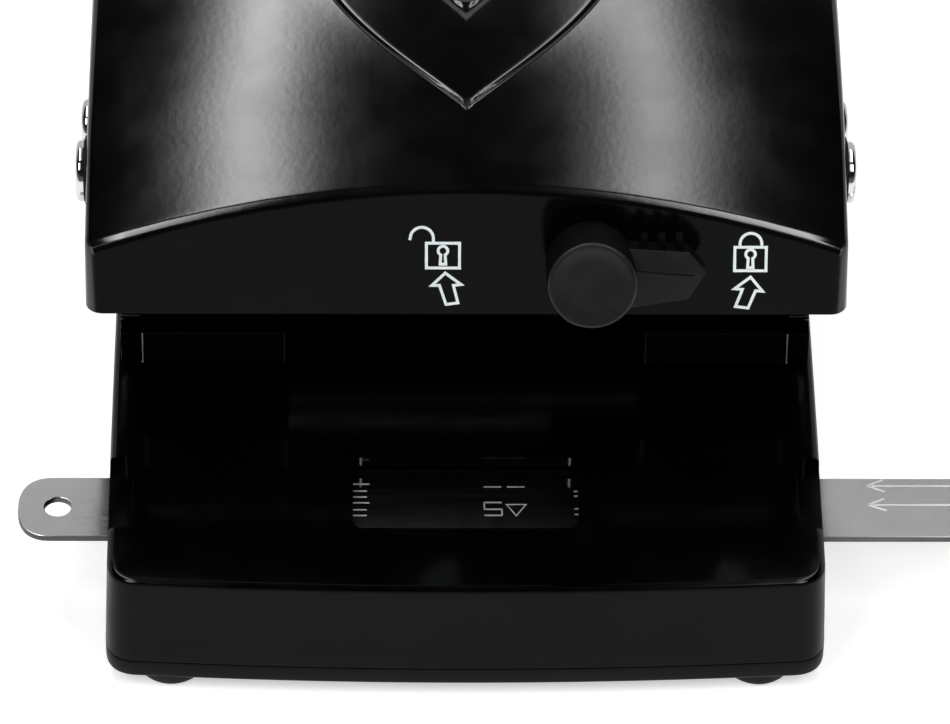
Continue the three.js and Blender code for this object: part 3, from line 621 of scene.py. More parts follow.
def top_height(x, y, offset, half, sunk):
    """The crowned top and, where it is sunk, its panel with the lip round it and the ribbed insert."""
    lower = LEVER_CROWN * np.maximum(FLATTER_SHARE - half / LEVER_HALF, 0)
    z = middle_line(y) + offset - lower - crown_height(y, half) * (x / half) ** 2
    if not sunk:
        return z
    inside = inside_v(x, y, PANEL)
    tip, _, length = PANEL
    sink = TIP_SINK + (PANEL_SINK - TIP_SINK) * ease(tip, tip + length, y)
    step = ease(-CREASE, CREASE, inside)
    lip = LIP_HEIGHT * np.exp(np.minimum(inside, 0) / LIP_REACH) * (1 - step)
    groove = CREASE_GROOVE * np.exp(-((inside - CREASE_GROOVE_INSET) / CREASE_GROOVE_WIDTH) ** 2)
    insert = inside_v(x, y, INSERT)
    well = INSERT_SINK * ease(-CREASE, CREASE, insert)
    ribs = RIB_HEIGHT * ease(*RIB_FADE, insert) * (0.5 + 0.5 * np.cos(2 * math.pi * y / RIB_PITCH))
    return z - sink * step + lip * ease(GRIP_START, GRIP_START - LIP_FADE, y) - groove - well + ribs


def spaced(start, end, parts):
    """Places that part a stretch evenly, without its ends."""
    return [start + (end - start) * share for share in np.linspace(0, 1, parts + 1)[1:-1]]


def around(edge, inner_room, outer_room, steps):
    """Places on both sides of an edge, as steps scaled to the room that they have."""
    return [edge - (inner_room if step > 0 else outer_room) * step / steps[-1] for step in reversed(steps)]


def top_columns(y, half, flank):
    """How far from the middle the points over half the top lie, for each place along the lever."""
    limit = np.maximum(half - 2 * LEVER_EDGE, LEAST_LIMIT)
    edge = np.clip(v_edge(y, *PANEL), LEAST_EDGE, limit)
    reach = CREASE_STEPS[-1] * v_slant(y, *PANEL)
    inner = np.maximum(edge - reach, edge * INNER_SHARE)
    insert = np.clip(v_edge(y, *INSERT), INSERT_SHARES[0] * edge, inner * INSERT_SHARES[1])
    insert_reach = INSERT_STEPS[-1] * v_slant(y, *INSERT)
    low = np.minimum(insert_reach, insert * INSERT_ROOM)
    high = np.minimum(insert_reach, (inner - insert) * INSERT_ROOM)
    outer = np.minimum(edge + reach, flank - LEAST_SIDE)
    columns = spaced(0, insert - low, 8) + around(insert, low, high, INSERT_STEPS)
    columns += spaced(insert + high, inner, 7) + around(edge, edge - inner, reach, CREASE_STEPS)
    return np.array(columns + [outer + (flank - outer) * share for share in SIDE_SHARES])


def section(y, offset, gap=0.0, sunk=True):
    """Points of the lever's cross sections, one column for each place along it.

    The sections lie an offset outside the hood's outer side, and their feet a gap below its skirt.
    """
    y = np.asarray(y, float)
    half = half_width(y, offset)
    edge = np.minimum(LEVER_EDGE + offset, half / 2)
    lean = np.arctan(2 * crown_height(y, half) / half * CROWN_LEAN_SHARE)
    flank = half - edge * (1 - np.sin(lean))
    across = np.minimum(top_columns(y, half, flank), flank)
    across = np.maximum.accumulate(np.concatenate([np.zeros((1, len(y))), across, flank[None]]), axis=0)
    xs = list(across)
    zs = list(top_height(across, y, offset, half, sunk))
    centre_z = zs[-1] - edge * np.cos(lean)
    for i in range(1, EDGE_TURNS + 1):
        angle = (math.pi / 2 - lean) * (1 - i / EDGE_TURNS)
        xs.append(half - edge + edge * np.cos(angle))
        zs.append(centre_z + edge * np.sin(angle))
    foot = np.minimum(skirt_line(y) - gap, centre_z - edge / 4)
    for i in range(1, WALL_STEPS + 1):
        xs.append(half)
        zs.append(centre_z + (foot - centre_z) * i / WALL_STEPS)
    xs, zs = np.array(xs), np.array(zs)
    return np.concatenate([-xs[:0:-1], xs]), np.concatenate([zs[:0:-1], zs])


def lever_stations():
    """Places along the lever: close together at the front, wider apart on the handle."""
    places = [STATION_START]
    for end, step in STATION_STEPS:
        while places[-1] < end:
            places.append(places[-1] + step)
    return places


def hood_rim(offset, inset):
    """Where each column of the lever's sections meets the tilted front, moved in by an inset."""
    probe = np.linspace(FACE_FOOT[1] + 0.01, FACE_FOOT[1] + FACE_REACH, 400)
    zs = section(probe, offset)[1]
    ahead = FACE_OUT[1] * (probe - FACE_FOOT[1]) + FACE_OUT[2] * (zs - FACE_FOOT[2]) + inset
    first = np.argmax(ahead <= 0, axis=1)
    each = np.arange(len(ahead))
    a, b = ahead[each, first - 1], ahead[each, first]
    crossing = probe[first - 1] + (probe[first] - probe[first - 1]) * a / (a - b)
    return np.where(first == 0, probe[0], crossing)


def hood_surface(offset, inset, top_fillet, side_fillet):
    """One side of the hood's sheet: rows from inside the tilted front's rim to the handle's end."""
    def on_columns(y):
        x, z = section(y, offset)
        return np.stack([np.diagonal(x), y, np.diagonal(z)], axis=1)

    place = hood_rim(offset, inset)
    rim = on_columns(place)
    nudge = 0.05
    pace = np.linalg.norm((on_columns(place + nudge) - rim) / nudge, axis=1)
    inward = unit(np.cross(FACE_OUT, unit(np.gradient(rim, axis=0))))
    middle = FACE_FOOT + FACE_UP * FACE_MIDDLE
    inward[np.sum(inward * (middle - rim), axis=1) < 0] *= -1
    fillet = top_fillet + (side_fillet - top_fillet) * np.abs(inward[:, 0]) ** FILLET_TURN
    start = on_columns(place + fillet / pace)
    end = rim + inward * fillet[:, None]
    rows = [rim + inward * (fillet + RIM_FLAT)[:, None]]
    one = end + (rim - end) * FILLET_HOLD
    two = start + (rim - start) * FILLET_HOLD
    for i in range(FILLET_STEPS + 1):
        t = i / FILLET_STEPS
        s = 1 - t
        rows.append(s ** 3 * end + 3 * s ** 2 * t * one + 3 * s * t ** 2 * two + t ** 3 * start)
    first, *stations = lever_stations()
    for y in stations:
        shift = (place + fillet / pace - first) * max(0, 1 - (y - first) / STATION_BLEND)
        rows.append(on_columns(y + shift))
    for i in range(HOOD_END_TURNS + 1):
        y = LEVER_REAR - HANDLE_ROUND + (HANDLE_ROUND + offset) * math.sin(math.pi / 2 * i / HOOD_END_TURNS)
        rows.append(on_columns(np.full(len(place), y)))
    return rows


def build_hood(looks):
    outer = hood_surface(0, 0, FACE_FILLET, SIDE_FILLET)
    inner = hood_surface(-SHEET, SHEET, INNER_FACE_FILLET, INNER_SIDE_FILLET)
    points, faces = sheet(outer, inner)
    columns, count = len(outer[0]), len(points) // 2
    faces += [tuple(range(columns)), tuple(range(count, count + columns))[::-1],
              (0, count, count + columns - 1, columns - 1)]
    hood = mesh_piece("lever_hood", points, faces, looks["lever"], "lever", "lever_shell", "lever_paint")
    dress_faces(hood, looks["inside"], lambda face: min(face.vertices) >= count)
    soften(hood)


def build_grip(looks):
    """The plastic cover on the handle, with a rolled front lip and shallow finger grooves."""
    def row(y, offset):
        xs, zs = section(np.array([y]), offset, FIT, False)
        return np.stack([xs[:, 0], np.full(len(xs), y), zs[:, 0]], axis=1)

    out = FIT + GRIP_THICKNESS
    bend = LEVER_REAR - HANDLE_ROUND
    lip = GRIP_THICKNESS / 2
    outer = [row(GRIP_START + lip + along, FIT + lip + rise) for along, rise in arc((0, 0), lip, 180, 90, 6)]
    y = GRIP_START + lip + 1
    while y < bend:
        groove = sum(FINGER_DEPTH * math.exp(-((y - place) / FINGER_WIDTH) ** 2) for place in FINGER_GROOVES)
        outer.append(row(y, out - groove))
        y += GRIP_STEP
    inner = [row(GRIP_START + GRIP_LIP + (shape[0, 1] - GRIP_START) * INNER_PACE, FIT) for shape in outer]
    for i in range(GRIP_END_TURNS + 1):
        share = math.sin(math.pi / 2 * i / GRIP_END_TURNS)
        outer.append(row(bend + (HANDLE_ROUND + out) * share, out))
        inner.append(row(bend + (HANDLE_ROUND + FIT) * share, FIT))
    points, faces = sheet(outer, inner)
    count = len(points) // 2
    faces += [(c, c + 1, count + c + 1, count + c) for c in range(len(outer[0]) - 1)]
    grip = mesh_piece("soft_grip", points, faces, looks["plastic"], "lever", "handle_grip", "plastic")
    soften(grip)


# Base and chip tray

OUTLINE_STEPS = (48, 30, 30, 30)
OUTLINE_CORNER_STEPS = 14


def quad_curve(a, control, b, steps):
    """Points of a quadratic curve, its last point left to the next stretch."""
    a, control, b = np.array(a), np.array(control), np.array(b)
    ts = np.arange(steps) / steps
    return [tuple((1 - t) ** 2 * a + 2 * (1 - t) * t * control + t * t * b) for t in ts]


def base_outline(inset, flare=0.0):
    """Plan of the base: a bowed front, sides that swell a little, and round corners."""
    half = BASE_HALF - inset
    front = -BASE_FRONT + inset
    rear = BASE_REAR - inset
    corner = max(BASE_CORNER - inset, WALL / 2)
    side = half - SIDE_BOW
    shoulder = front + FRONT_BOW
    middle = (shoulder + rear) / 2
    corners = [np.array(c) for c in ((-side, shoulder), (side, shoulder), (side, rear), (-side, rear))]
    controls = ((0, front - FRONT_BOW), (half + SIDE_BOW, middle), (0, rear), (-half - SIDE_BOW, middle))
    points = []
    for i, (control, steps) in enumerate(zip(controls, OUTLINE_STEPS)):
        a, b, c = (corners[k % 4] for k in (i, i + 1, i + 2))
        start, end = a + np.sign(b - a) * corner, b - np.sign(b - a) * corner
        points += quad_curve(start, control, end, steps)
        points += quad_curve(end, b, b + np.sign(c - b) * corner, OUTLINE_CORNER_STEPS)
    return [(x * (1 - flare / BASE_HALF), y) for x, y in points]


def rounded(x0, x1, y0, y1, corner, steps=6):
    centres = rectangle(x0 + corner, x1 - corner, y0 + corner, y1 - corner)
    return [p for i in range(4) for p in arc(centres[(i + 1) % 4], corner, 90 * i - 90, 90 * i, steps)]


def cut_base(base):
    """Window, notches, slots for the bar, holes for the dies and the frame's seat."""
    front, rear = BAR_Y - WINDOW_DEPTH / 2, BAR_Y + WINDOW_DEPTH / 2
    window = rounded(-WINDOW_HALF, WINDOW_HALF, front, rear, WINDOW_CORNER)
    cut(base, "window", *prism(window, 2 * BAR_BOTTOM, OVERRUN))
    notch_inner = BASE_HALF - NOTCH_DEPTH
    slot_inner = BASE_HALF - WALL - SLOT_REACH
    for side in (-1, 1):
        reach = sorted((side * notch_inner, side * (notch_inner + 3 * OVERRUN)))
        notch = rounded(*reach, front, rear, WINDOW_CORNER)
        cut(base, "notch", *prism(notch, -NOTCH_SINK, OVERRUN))
        reach = sorted((side * slot_inner, side * (BASE_HALF + OVERRUN)))
        slot = rounded(*reach, BAR_Y - SLOT_HALF, BAR_Y + SLOT_HALF, SLOT_CORNER)
        cut(base, "bar_slot", *prism(slot, BAR_BOTTOM - FIT, -TABLE_THICKNESS - SEAM))
        points, faces = rod(DIE_RADIUS + FIT, -3 * OVERRUN, OVERRUN)
        cut(base, "die_hole", [(x + side * PUNCH_X, y, z) for x, y, z in points], faces)
    half = CHEEK_INNER + FIT
    seat = rectangle(-half, half, MARGIN_DEPTH - FIT, SEAT_REAR)
    cut(base, "frame_seat", *prism(seat, -SEAT_SINK, OVERRUN))


def build_base(looks):
    """The moulded shell whose top is the paper table: glossy on top, duller on its walls."""
    def flared(inset, z):
        return base_outline(inset, BASE_FLARE * (z - SHELL_BOTTOM) / -SHELL_BOTTOM), z

    rings = [(base_outline(WALL), -TABLE_THICKNESS), (base_outline(WALL), SHELL_BOTTOM + EDGE_BREAK),
             (base_outline(WALL - EDGE_BREAK), SHELL_BOTTOM), (base_outline(SHELL_BREAK), SHELL_BOTTOM),
             (base_outline(0.1), SHELL_BOTTOM + 0.1), (base_outline(0), SHELL_BOTTOM + SHELL_BREAK)]
    rings += [flared(0, z) for z in np.linspace(SHELL_BOTTOM + SHELL_BREAK, -BASE_EDGE, 7)[1:]]
    rings += [flared(inset, rise - BASE_EDGE) for inset, rise in quarter_round(BASE_EDGE)]
    rings.append(flared(BASE_EDGE + CAP_INSET, 0))
    base = mesh_piece("table_shell", *ring_stack(rings), looks["enamel"], "base", "base_shell", "enamel")
    glossy = -0.4 * BASE_EDGE * MM
    dress_faces(base, looks["walls"], lambda face: face.center[2] < glossy and len(face.vertices) == 4)
    cut_base(base)
    soften(base, 0.3, 3, 50)


def build_tray(looks):
    """The push-fit chip tray: a shallow pan whose lower edge is rounded, with an inner rim and ribs."""
    fit = WALL + FIT
    top = SHELL_BOTTOM - SEAM
    rim_top = SHELL_BOTTOM + TRAY_RIM_HEIGHT
    straight = TRAY_BOTTOM + TRAY_EDGE
    floor = TRAY_BOTTOM + TRAY_FLOOR
    inner = fit + TRAY_RIM
    places = [(inner, floor), (inner, rim_top - EDGE_BREAK), (inner - EDGE_BREAK, rim_top),
              (fit + EDGE_BREAK, rim_top), (fit, rim_top - EDGE_BREAK), (fit, top),
              (0.6, top), (0.15, top - 0.15), (0.0, top - 0.5), (0.0, straight)]
    places += [(inset, straight - rise) for inset, rise in quarter_round(TRAY_EDGE)]
    places.append((TRAY_EDGE + CAP_INSET, TRAY_BOTTOM))
    points, faces = ring_stack([(base_outline(inset), z) for inset, z in places])
    parts = [(points, [f[::-1] for f in faces])]
    span = BASE_HALF - fit - TRAY_RIM / 2
    thick = TRAY_FLOOR / 2
    for y in (-BASE_FRONT / 2, 0, BASE_REAR / 3, 2 * BASE_REAR / 3):
        rib = rectangle(-span, span, y - thick, y + thick)
        parts.append(prism(rib, floor - thick, floor + thick))
    tray = mesh_piece("chip_pan", *merged(parts), looks["tray"], "tray", "chip_tray", "plastic")
    soften(tray)


def merged(parts):
    points, faces = [], []
    for part_points, part_faces in parts:
        start = len(points)
        points += list(part_points)
        faces += [tuple(start + i for i in f) for f in part_faces]
    return points, faces


# Lock knob

def build_knob(looks):
    """Round head on a post, with a pointer blade whose edge has ribs; upright faces and ribs get the darker
    inner coat as painted shade.
    """
    def part(name, points, faces, look="plastic"):
        points = on_face(points, KNOB_SIDE, KNOB_RISE)
        piece = mesh_piece(name, points, faces, looks[look], "lock", "lock_knob", "plastic")
        if look == "plastic":
            # Faces square to the front, such as the head's side and the blade's side walls, get the darker
            # inner coat as painted shade.
            dress_faces(piece, looks["inside"], lambda face: abs(np.array(face.normal) @ FACE_OUT) < 0.6)
        return piece

    low = BLADE_TOP - BLADE_THICKNESS
    radius, top, rim = KNOB_RADIUS, KNOB_REACH, KNOB_RIM
    profile = [(0, low), (radius - 0.4, low), (radius - 0.1, low + 0.1), (radius, low + 0.4),
               (radius, top - rim - 3), (radius, top - rim)]
    profile += arc((radius - rim, top - rim), rim, 0, 90, 6)[1:]
    profile += [(radius - 1.0, top - 0.15 * KNOB_DISH), (radius - 1.5, top - 0.8 * KNOB_DISH),
                (radius - 3, top - KNOB_DISH), (0, top - KNOB_DISH)]
    soften(part("knob_head", *lathe(profile, 96)))
    soften(part("knob_post", *rod(KNOB_POST, 0.4, low + 0.4, 64)), 0.25)

    half = BLADE_WIDTH / 2
    shoulder = BLADE_LENGTH - BLADE_POINT
    near_tip = BLADE_LENGTH - 0.15
    outline = [(BLADE_ROOT, 0.2), (BLADE_ROOT, -half - 2), (shoulder, -half), (near_tip, -0.1),
               (BLADE_LENGTH, 0.2), (near_tip, 0.5), (shoulder, 0.77 * half), (BLADE_ROOT, 0.94 * half)]
    drops = [0, 0.1, 0.1, 0, 0, 0, BLADE_SLOPE, BLADE_SLOPE]
    n = len(outline)
    points = [(x, y, low) for x, y in outline]
    points += [(x, y, BLADE_TOP - drop) for (x, y), drop in zip(outline, drops)]
    faces = [tuple(range(n)), (n + 4, n + 3, n + 2, n + 1, n), (n, n + 7, n + 6, n + 5, n + 4)]
    faces += [((k + 1) % n, k, n + k, n + (k + 1) % n) for k in range(n)]
    blade = part("knob_blade", points, faces)
    start, end = radius - 1, BLADE_LENGTH - 1.8
    groove = [(start, 0.05), (end, -0.5), (end + 0.2, -0.4), (end, -0.28), (start, 0.55)]
    points, faces = prism(groove, BLADE_TOP - 0.5, BLADE_TOP + 1)
    cut(blade, "blade_groove", on_face(points, KNOB_SIDE, KNOB_RISE), faces)
    soften(blade, 0.22, 3, 25)

    pitch = (shoulder - radius) / KNOB_RIBS
    thick = pitch / 5
    for i in range(KNOB_RIBS):
        x = radius + pitch * (i + 0.5)
        shape = rectangle(x - thick, x + thick, 0.8 * half, half + pitch / 3)
        solid = prism(shape, low, BLADE_TOP - 3 * BLADE_SLOPE)
        # Each rib is wholly in the darker inner coat, as painted shade.
        soften(part("knob_rib_%d" % (i + 1), *solid, "inside"), 0.15)


# Printed signs, guide bar and its engraved marks

PRINT_LINE = 0.44
PRINT_HEIGHT = 0.04
SIGN_SIDE = -0.38
SIGN_RISE = -0.2
MARK_HEIGHT = 0.03
MARK_LINE = 0.26
INDEX_LINE = 0.2
ARROW_LINE = 0.32
LEAST_MITRE_SHARE = 0.35
LIFT = 0.005


def band(path, width, closed=False):
    """Left and right edges of a line of even width along a path in a plane, its joints mitred."""
    path = np.array(path, float)
    after = unit(np.roll(path, -1, axis=0) - path)
    before = np.roll(after, 1, axis=0)
    if not closed:
        before[0], after[-1] = after[0], before[-1]
    side = unit((before + after)[:, ::-1] * (-1, 1))
    square = np.sum(side * before[:, ::-1] * (-1, 1), axis=1)
    reach = side * (width / 2 / np.maximum(square, LEAST_MITRE_SHARE))[:, None]
    return list(path + reach), list(path - reach)


def stroke(path, width, thickness, closed=False):
    """Points and faces of a thin raised line along a path."""
    left, right = band(path, width, closed)
    n = len(path)
    points = [(p[0], p[1], z) for z in (0, thickness) for p in left + right]
    faces = []
    for i in range(n if closed else n - 1):
        j = (i + 1) % n
        faces += [(2 * n + i, 3 * n + i, 3 * n + j, 2 * n + j), (i, j, n + j, n + i),
                  (i, 2 * n + i, 2 * n + j, j), (n + i, n + j, 3 * n + j, 3 * n + i)]
    if not closed:
        for i, order in ((0, 1), (n - 1, -1)):
            faces.append((i, n + i, 3 * n + i, 2 * n + i)[::order])
    return points, faces


def keyhole(x, y):
    """Round eye with a straight slot below it, drawn as one closed line."""
    slot = 0.42
    return arc((x, y), 0.72, -62, 242, 20) + [(x - slot, y - 2.1), (x + slot, y - 2.1)]


def build_sign(name, body, shackle, arrow, material):
    """A padlock sign printed on the lever's tilted front: body, keyhole, shackle and the arrow below it."""
    x0, x1, y0, y1 = body
    eye = ((x0 + x1) / 2, (y0 + y1) / 2 + 0.75)
    lines = ((rectangle(*body), True), (shackle, False), (keyhole(*eye), True), (arrow, True))
    points, faces = merged([stroke(path, PRINT_LINE, PRINT_HEIGHT, closed) for path, closed in lines])
    mesh_piece(name, on_face(points, SIGN_SIDE, SIGN_RISE, LIFT), faces, material, "lever", smooth=False)


def build_signs(looks):
    shackle = [(-8.3, 11.9)] + arc((-6.45, 12.15), 1.75, 180, 0, 14) + [(-4.7, 11.6)]
    arrow = [(-2.9, 6.7), (-4.9, 4.75), (-3.75, 4.75), (-2.75, 1.75), (-0.95, 2), (-1.65, 4.75), (-0.5, 4.9)]
    build_sign("unlocked_sign", (-5.75, -0.75, 7.5, 11.4), shackle, arrow, looks["print"])
    shackle = [(41.6, 11.1)] + arc((43.25, 11.4), 1.65, 180, 0, 14) + [(44.9, 11.1)]
    arrow = [(43.3, 6.15), (40.9, 4.3), (42.1, 4.2), (41.1, 1.5), (43.0, 1.25), (44.1, 4.0), (45.15, 3.9)]
    build_sign("locked_sign", (40.85, 45.6, 7.15, 10.85), shackle, arrow, looks["print"])


def squarish(value):
    """Cosine or sine of a round end that is a little squarer than an ellipse."""
    return math.copysign(abs(value) ** 0.8, value)


def build_bar(looks):
    """Flat steel bar with a round left end and a hole, its upright edges in a much darker metal than its
    faces.
    """
    left, right = (corner[0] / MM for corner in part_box("guide_bar"))
    half = BAR_WIDTH / 2
    turns = [math.radians(a) for a in np.linspace(90, 270, 33)]
    outline = [(left + BAR_ROUND + BAR_ROUND * squarish(math.cos(a)), BAR_Y + half * squarish(math.sin(a)))
               for a in turns]
    outline += [(right, BAR_Y - half), (right, BAR_Y + half)]
    solid = prism(outline, BAR_TOP - BAR_SEEN, BAR_TOP)
    bar = mesh_piece("steel_bar", *solid, looks["steel"], "guide", "guide_bar", "steel")
    points, faces = rod(BAR_HOLE, BAR_BOTTOM - 1, BAR_TOP + 1)
    cut(bar, "bar_hole", [(x + left + BAR_HOLE_INSET, y + BAR_Y, z) for x, y, z in points], faces)
    # The bar's upright faces get the much darker edge metal.
    dress_faces(bar, looks["dark_edge"], lambda face: abs(face.normal[2]) < 0.5)
    soften(bar, 0.16)


def build_bar_marks(looks):
    """Scale ticks, a numeral, an index triangle and two arrows, scribed into the guide bar's top."""
    ticks = ((-45.32, 1.5), (-46.86, 1.1), (-48.18, 1.1), (-49.46, 1.5), (-51.0, 1.1), (-52.26, 1.1))
    lines = [[(-16.2 - reach, y), (-16.2 + reach, y)] for y, reach in ticks]
    lines += [[(16.7, y), (18.4, y)] for y in (-46.89, -47.92, -50.74, -51.97)]
    lines += [[(x - 1.35, -45.9), (x + 1.35, -45.9)] for x in (4.2, 7.8)]
    left, right, rows = 2.9, 5.6, (-49.35, -50.85, -52.2)
    lines += [[(left, y), (right, y)] for y in rows]
    lines += [[(left, rows[0]), (left, rows[1])], [(right, rows[1]), (right, rows[2])]]
    marks = [stroke(path, MARK_LINE, MARK_HEIGHT) for path in lines]
    marks.append(stroke([(6.3, -49.8), (9.3, -49.8), (7.8, -52.3)], INDEX_LINE, MARK_HEIGHT, True))
    for y in (-45.6, -49.8):
        arrow = ([(62.6, y), (112, y)], [(61.9, y + 0.05), (64.4, y + 1.35)], [(61.9, y), (64.6, y - 1.25)])
        marks += [stroke(path, ARROW_LINE, MARK_HEIGHT) for path in arrow]
    points, faces = merged(marks)
    points = [(x, y, z + BAR_TOP - LIFT) for x, y, z in points]
    mesh_piece("bar_marks", points, faces, looks["groove"], "guide", smooth=False)


# Feet, bolt heads, springs and the CAD nodes that stay

HEAD_BREAK = 0.15
HEAD_FLANK_SHARE = 0.45
HEAD_DIMPLE = ((0.62, 0), (0.5, 0.12), (0.42, 0.4), (0, 0.45))
FOOT_SHARES = [(0, 0), (0.62, 0), (0.8, 0.06), (0.92, 0.22), (0.98, 0.5), (1, 1), (0, 1)]
SPRING_STEPS = 40
SPRING_SIDES = 12
NODE_LOOKS = {
    "punch_frame": ("enamel", 0.25), "guide_channel": ("inside", 0.1), "detent_spring": ("spring", 0.05),
    "guide_stop": ("plastic", 0.35), "pivot_shaft": ("turned", 0.2), "drive_shaft": ("turned", 0.2),
    "lock_catch": ("enamel", 0.2), "lock_shaft": ("turned", 0.15), "lock_cam": ("enamel", 0.15),
    "knob_clip": ("spring", 0.1),
}
HAND_LOOKS = {
    "guide_block": ("lever", 0.35), "die": ("turned", 0.12), "punch_pin": ("turned", 0.08),
    "spring_clip": ("spring", 0.1), "pivot_washer": ("rubber", 0.08), "pivot_bush": ("bronze", 0.08),
    "press_roller": ("turned", 0.1), "block_screw": ("turned", 0.1),
}


def frame_body(node):
    """The body that a CAD node rides on."""
    return next(body for body, nodes in frame["record"]["behaviour"]["bodies"].items() if node in nodes)


def build_front_feet(looks):
    """Domed rubber feet, a little longer than wide, that reach nearly to the tray's front edge."""
    height = TRAY_BOTTOM - FOOT_BOTTOM
    for side, hand in HANDS:
        points, faces = lathe([(radius, rise * height) for radius, rise in FOOT_SHARES])
        points = [(side * FOOT_SIDE + FOOT_HALF_WIDTH * x, FOOT_Y + FOOT_HALF_LENGTH * y, FOOT_BOTTOM + z)
                  for x, y, z in points]
        node = "front_%s_foot" % hand
        soften(mesh_piece(node + "_dome", points, faces, looks["rubber"], frame_body(node), node, "rubber"))


def build_bolt_heads(looks):
    for side, hand in HANDS:
        for kind, ((y, z), radius, tall, gap) in (("pivot", PIVOT), ("drive", DRIVE)):
            flank = tall * HEAD_FLANK_SHARE
            dome = tall - flank
            profile = [(0, 0), (radius - HEAD_BREAK, 0), (radius, HEAD_BREAK), (radius, flank)]
            profile += arc((radius - dome, flank), dome, 0, 90, 8)[1:]
            profile += [(radius * share, tall - sink) for share, sink in HEAD_DIMPLE]
            points, faces = lathe(profile)
            points = placed(points, (side * (LEVER_HALF + gap), y, z), (0, side, 0), (0, 0, 1), (side, 0, 0))
            node = "%s_%s_head" % (hand, kind)
            soften(mesh_piece(node + "_turned", points, faces, looks["chrome"], frame_body(node), node,
                              "chrome"))


def tube_points(centres, radius, sides):
    """Points of a round tube along a line, its section carried without twist."""
    points = []
    tangents = unit(np.gradient(np.array(centres), axis=0))
    side = np.cross(tangents[0], (0, 0, 1.0))
    for centre, tangent in zip(centres, tangents):
        side = unit(side - tangent * (side @ tangent))
        up = np.cross(tangent, side)
        for k in range(sides):
            angle = 2 * math.pi * k / sides
            points.append(centre + radius * (side * math.cos(angle) + up * math.sin(angle)))
    return points


def build_springs(looks):
    """Return springs as fine wire coils, stretching between the block and the pin."""
    for side, hand in HANDS:
        node = hand + "_return_spring"
        steps = SPRING_TURNS * SPRING_STEPS
        low = SPRING_LOW + SPRING_WIRE / 2
        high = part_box(node)[1][2] / MM - SPRING_WIRE / 2
        centres = [np.array([x, y, low + (high - low) * i / steps]) for i, (x, y) in enumerate(
            arc((side * PUNCH_X, 0), SPRING_RADIUS, 0, 360 * SPRING_TURNS, steps))]
        points = tube_points(centres, SPRING_WIRE / 2, SPRING_SIDES)
        faces = tube_faces(len(centres), SPRING_SIDES)
        spring = mesh_piece(node + "_wire", points, faces, looks["spring"], None, node, "spring_steel")
        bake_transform(spring)


def dress_nodes(looks):
    """Gives every CAD node that stays its material and rounded edges."""
    chosen = dict(NODE_LOOKS)
    for _, hand in HANDS:
        chosen.update({hand + "_" + part: look for part, look in HAND_LOOKS.items()})
        chosen["rear_%s_foot" % hand] = ("rubber", 0.6)
    for i in range(1, 5):
        chosen["frame_screw_%d" % i] = ("turned", 0.12)
    for name, (key, width) in chosen.items():
        node = frame["nodes"][name]
        for slot in node.material_slots:
            slot.material = looks[key]
        soften(node, width)


# Stage, lights and camera

FLOOR_REACH = 30000
FLOOR_GLOW = 0.55
CEILING = 0.012
FRONT_WALL = 0.16
FRONT_WALL_FULL = 0.16
FRONT_WALL_END = 0.42
BACK_WALL = 0.74
BACK_WALL_FULL = 0.72
BACK_WALL_END = 0.78
BACK_WALL_ARCH = 0.32
WALL_BLEND = 0.5

# Lights in metres and watts: a strip's and a panel's place in X and power, on each side
SIDE_LIGHTS = (("left", -0.260, 9.6, -0.445, 7.2), ("right", 0.250, 6.6, 0.415, 6.9))
STRIP_Y, STRIP_Z = 0.28, 0.93
STRIP_SIZE = (0.30, 1.0)
STRIP_FADE = 0.135
PANEL_Y, PANEL_Z = -0.60, 0.88
PANEL_SIZE = (0.46, 0.45)
PANEL_FADE = 0.28


def build_stage():
    """A pale floor that shows white to the camera and keeps the object's shadow."""
    square = rectangle(-FLOOR_REACH, FLOOR_REACH, -FLOOR_REACH, FLOOR_REACH)
    corners = [(x, y, FOOT_BOTTOM) for x, y in square]
    floor = new_object("floor", new_mesh("floor", corners, [(0, 1, 2, 3)]))
    material, tree, shader = new_material("pale_floor")
    path = tree.nodes.new("ShaderNodeLightPath").outputs
    seen = math_node(tree, "MAXIMUM", path["Is Camera Ray"], path["Is Glossy Ray"])
    through = math_node(tree, "MAXIMUM", seen, path["Is Transmission Ray"])
    glow = math_node(tree, "MULTIPLY", through, FLOOR_GLOW)
    feed(tree, shader, {"Base Color": (0.86, 0.86, 0.86, 1), "Roughness": 0.8, "Specular IOR Level": 0.1,
                        "Emission Color": (1, 1, 1, 1), "Emission Strength": glow})
    floor.data.materials.append(material)


def build_world():
    """White behind the object for the camera; for all else a room that is dark overhead.

    The room's front wall is low and dim. Its back wall is bright, and lower towards the sides.
    """
    world = bpy.data.worlds.new("studio")
    bpy.context.scene.world = world
    world.use_nodes = True
    tree = world.node_tree
    place = tree.nodes.new("ShaderNodeTexCoord")
    x, y, z = add_node(tree, "ShaderNodeSeparateXYZ", {0: place.outputs["Generated"]}).outputs

    def ranged(*values):
        return map_range(tree, *values, "SMOOTHSTEP")

    front = ranged(z, FRONT_WALL_FULL, FRONT_WALL_END, FRONT_WALL - CEILING, 0.0)
    aside = math_node(tree, "MULTIPLY", math_node(tree, "ABSOLUTE", x), BACK_WALL_ARCH)
    height = math_node(tree, "ADD", z, aside)
    back = ranged(height, BACK_WALL_FULL, BACK_WALL_END, BACK_WALL - CEILING, 0.0)
    front = math_node(tree, "MULTIPLY", front, ranged(y, 0.0, WALL_BLEND, 1.0, 0.0))
    back = math_node(tree, "MULTIPLY", back, ranged(y, 0.0, WALL_BLEND, 0.0, 1.0))
    room = math_node(tree, "ADD", math_node(tree, "ADD", front, back), CEILING)
    path = tree.nodes.new("ShaderNodeLightPath").outputs
    seen = math_node(tree, "MAXIMUM", path["Is Camera Ray"], path["Is Transmission Ray"])
    mix = add_node(tree, "ShaderNodeMix", {0: seen, 2: room, 3: 1.0})
    feed(tree, tree.nodes["Background"], {"Color": (1, 1, 1, 1), "Strength": mix.outputs[0]})


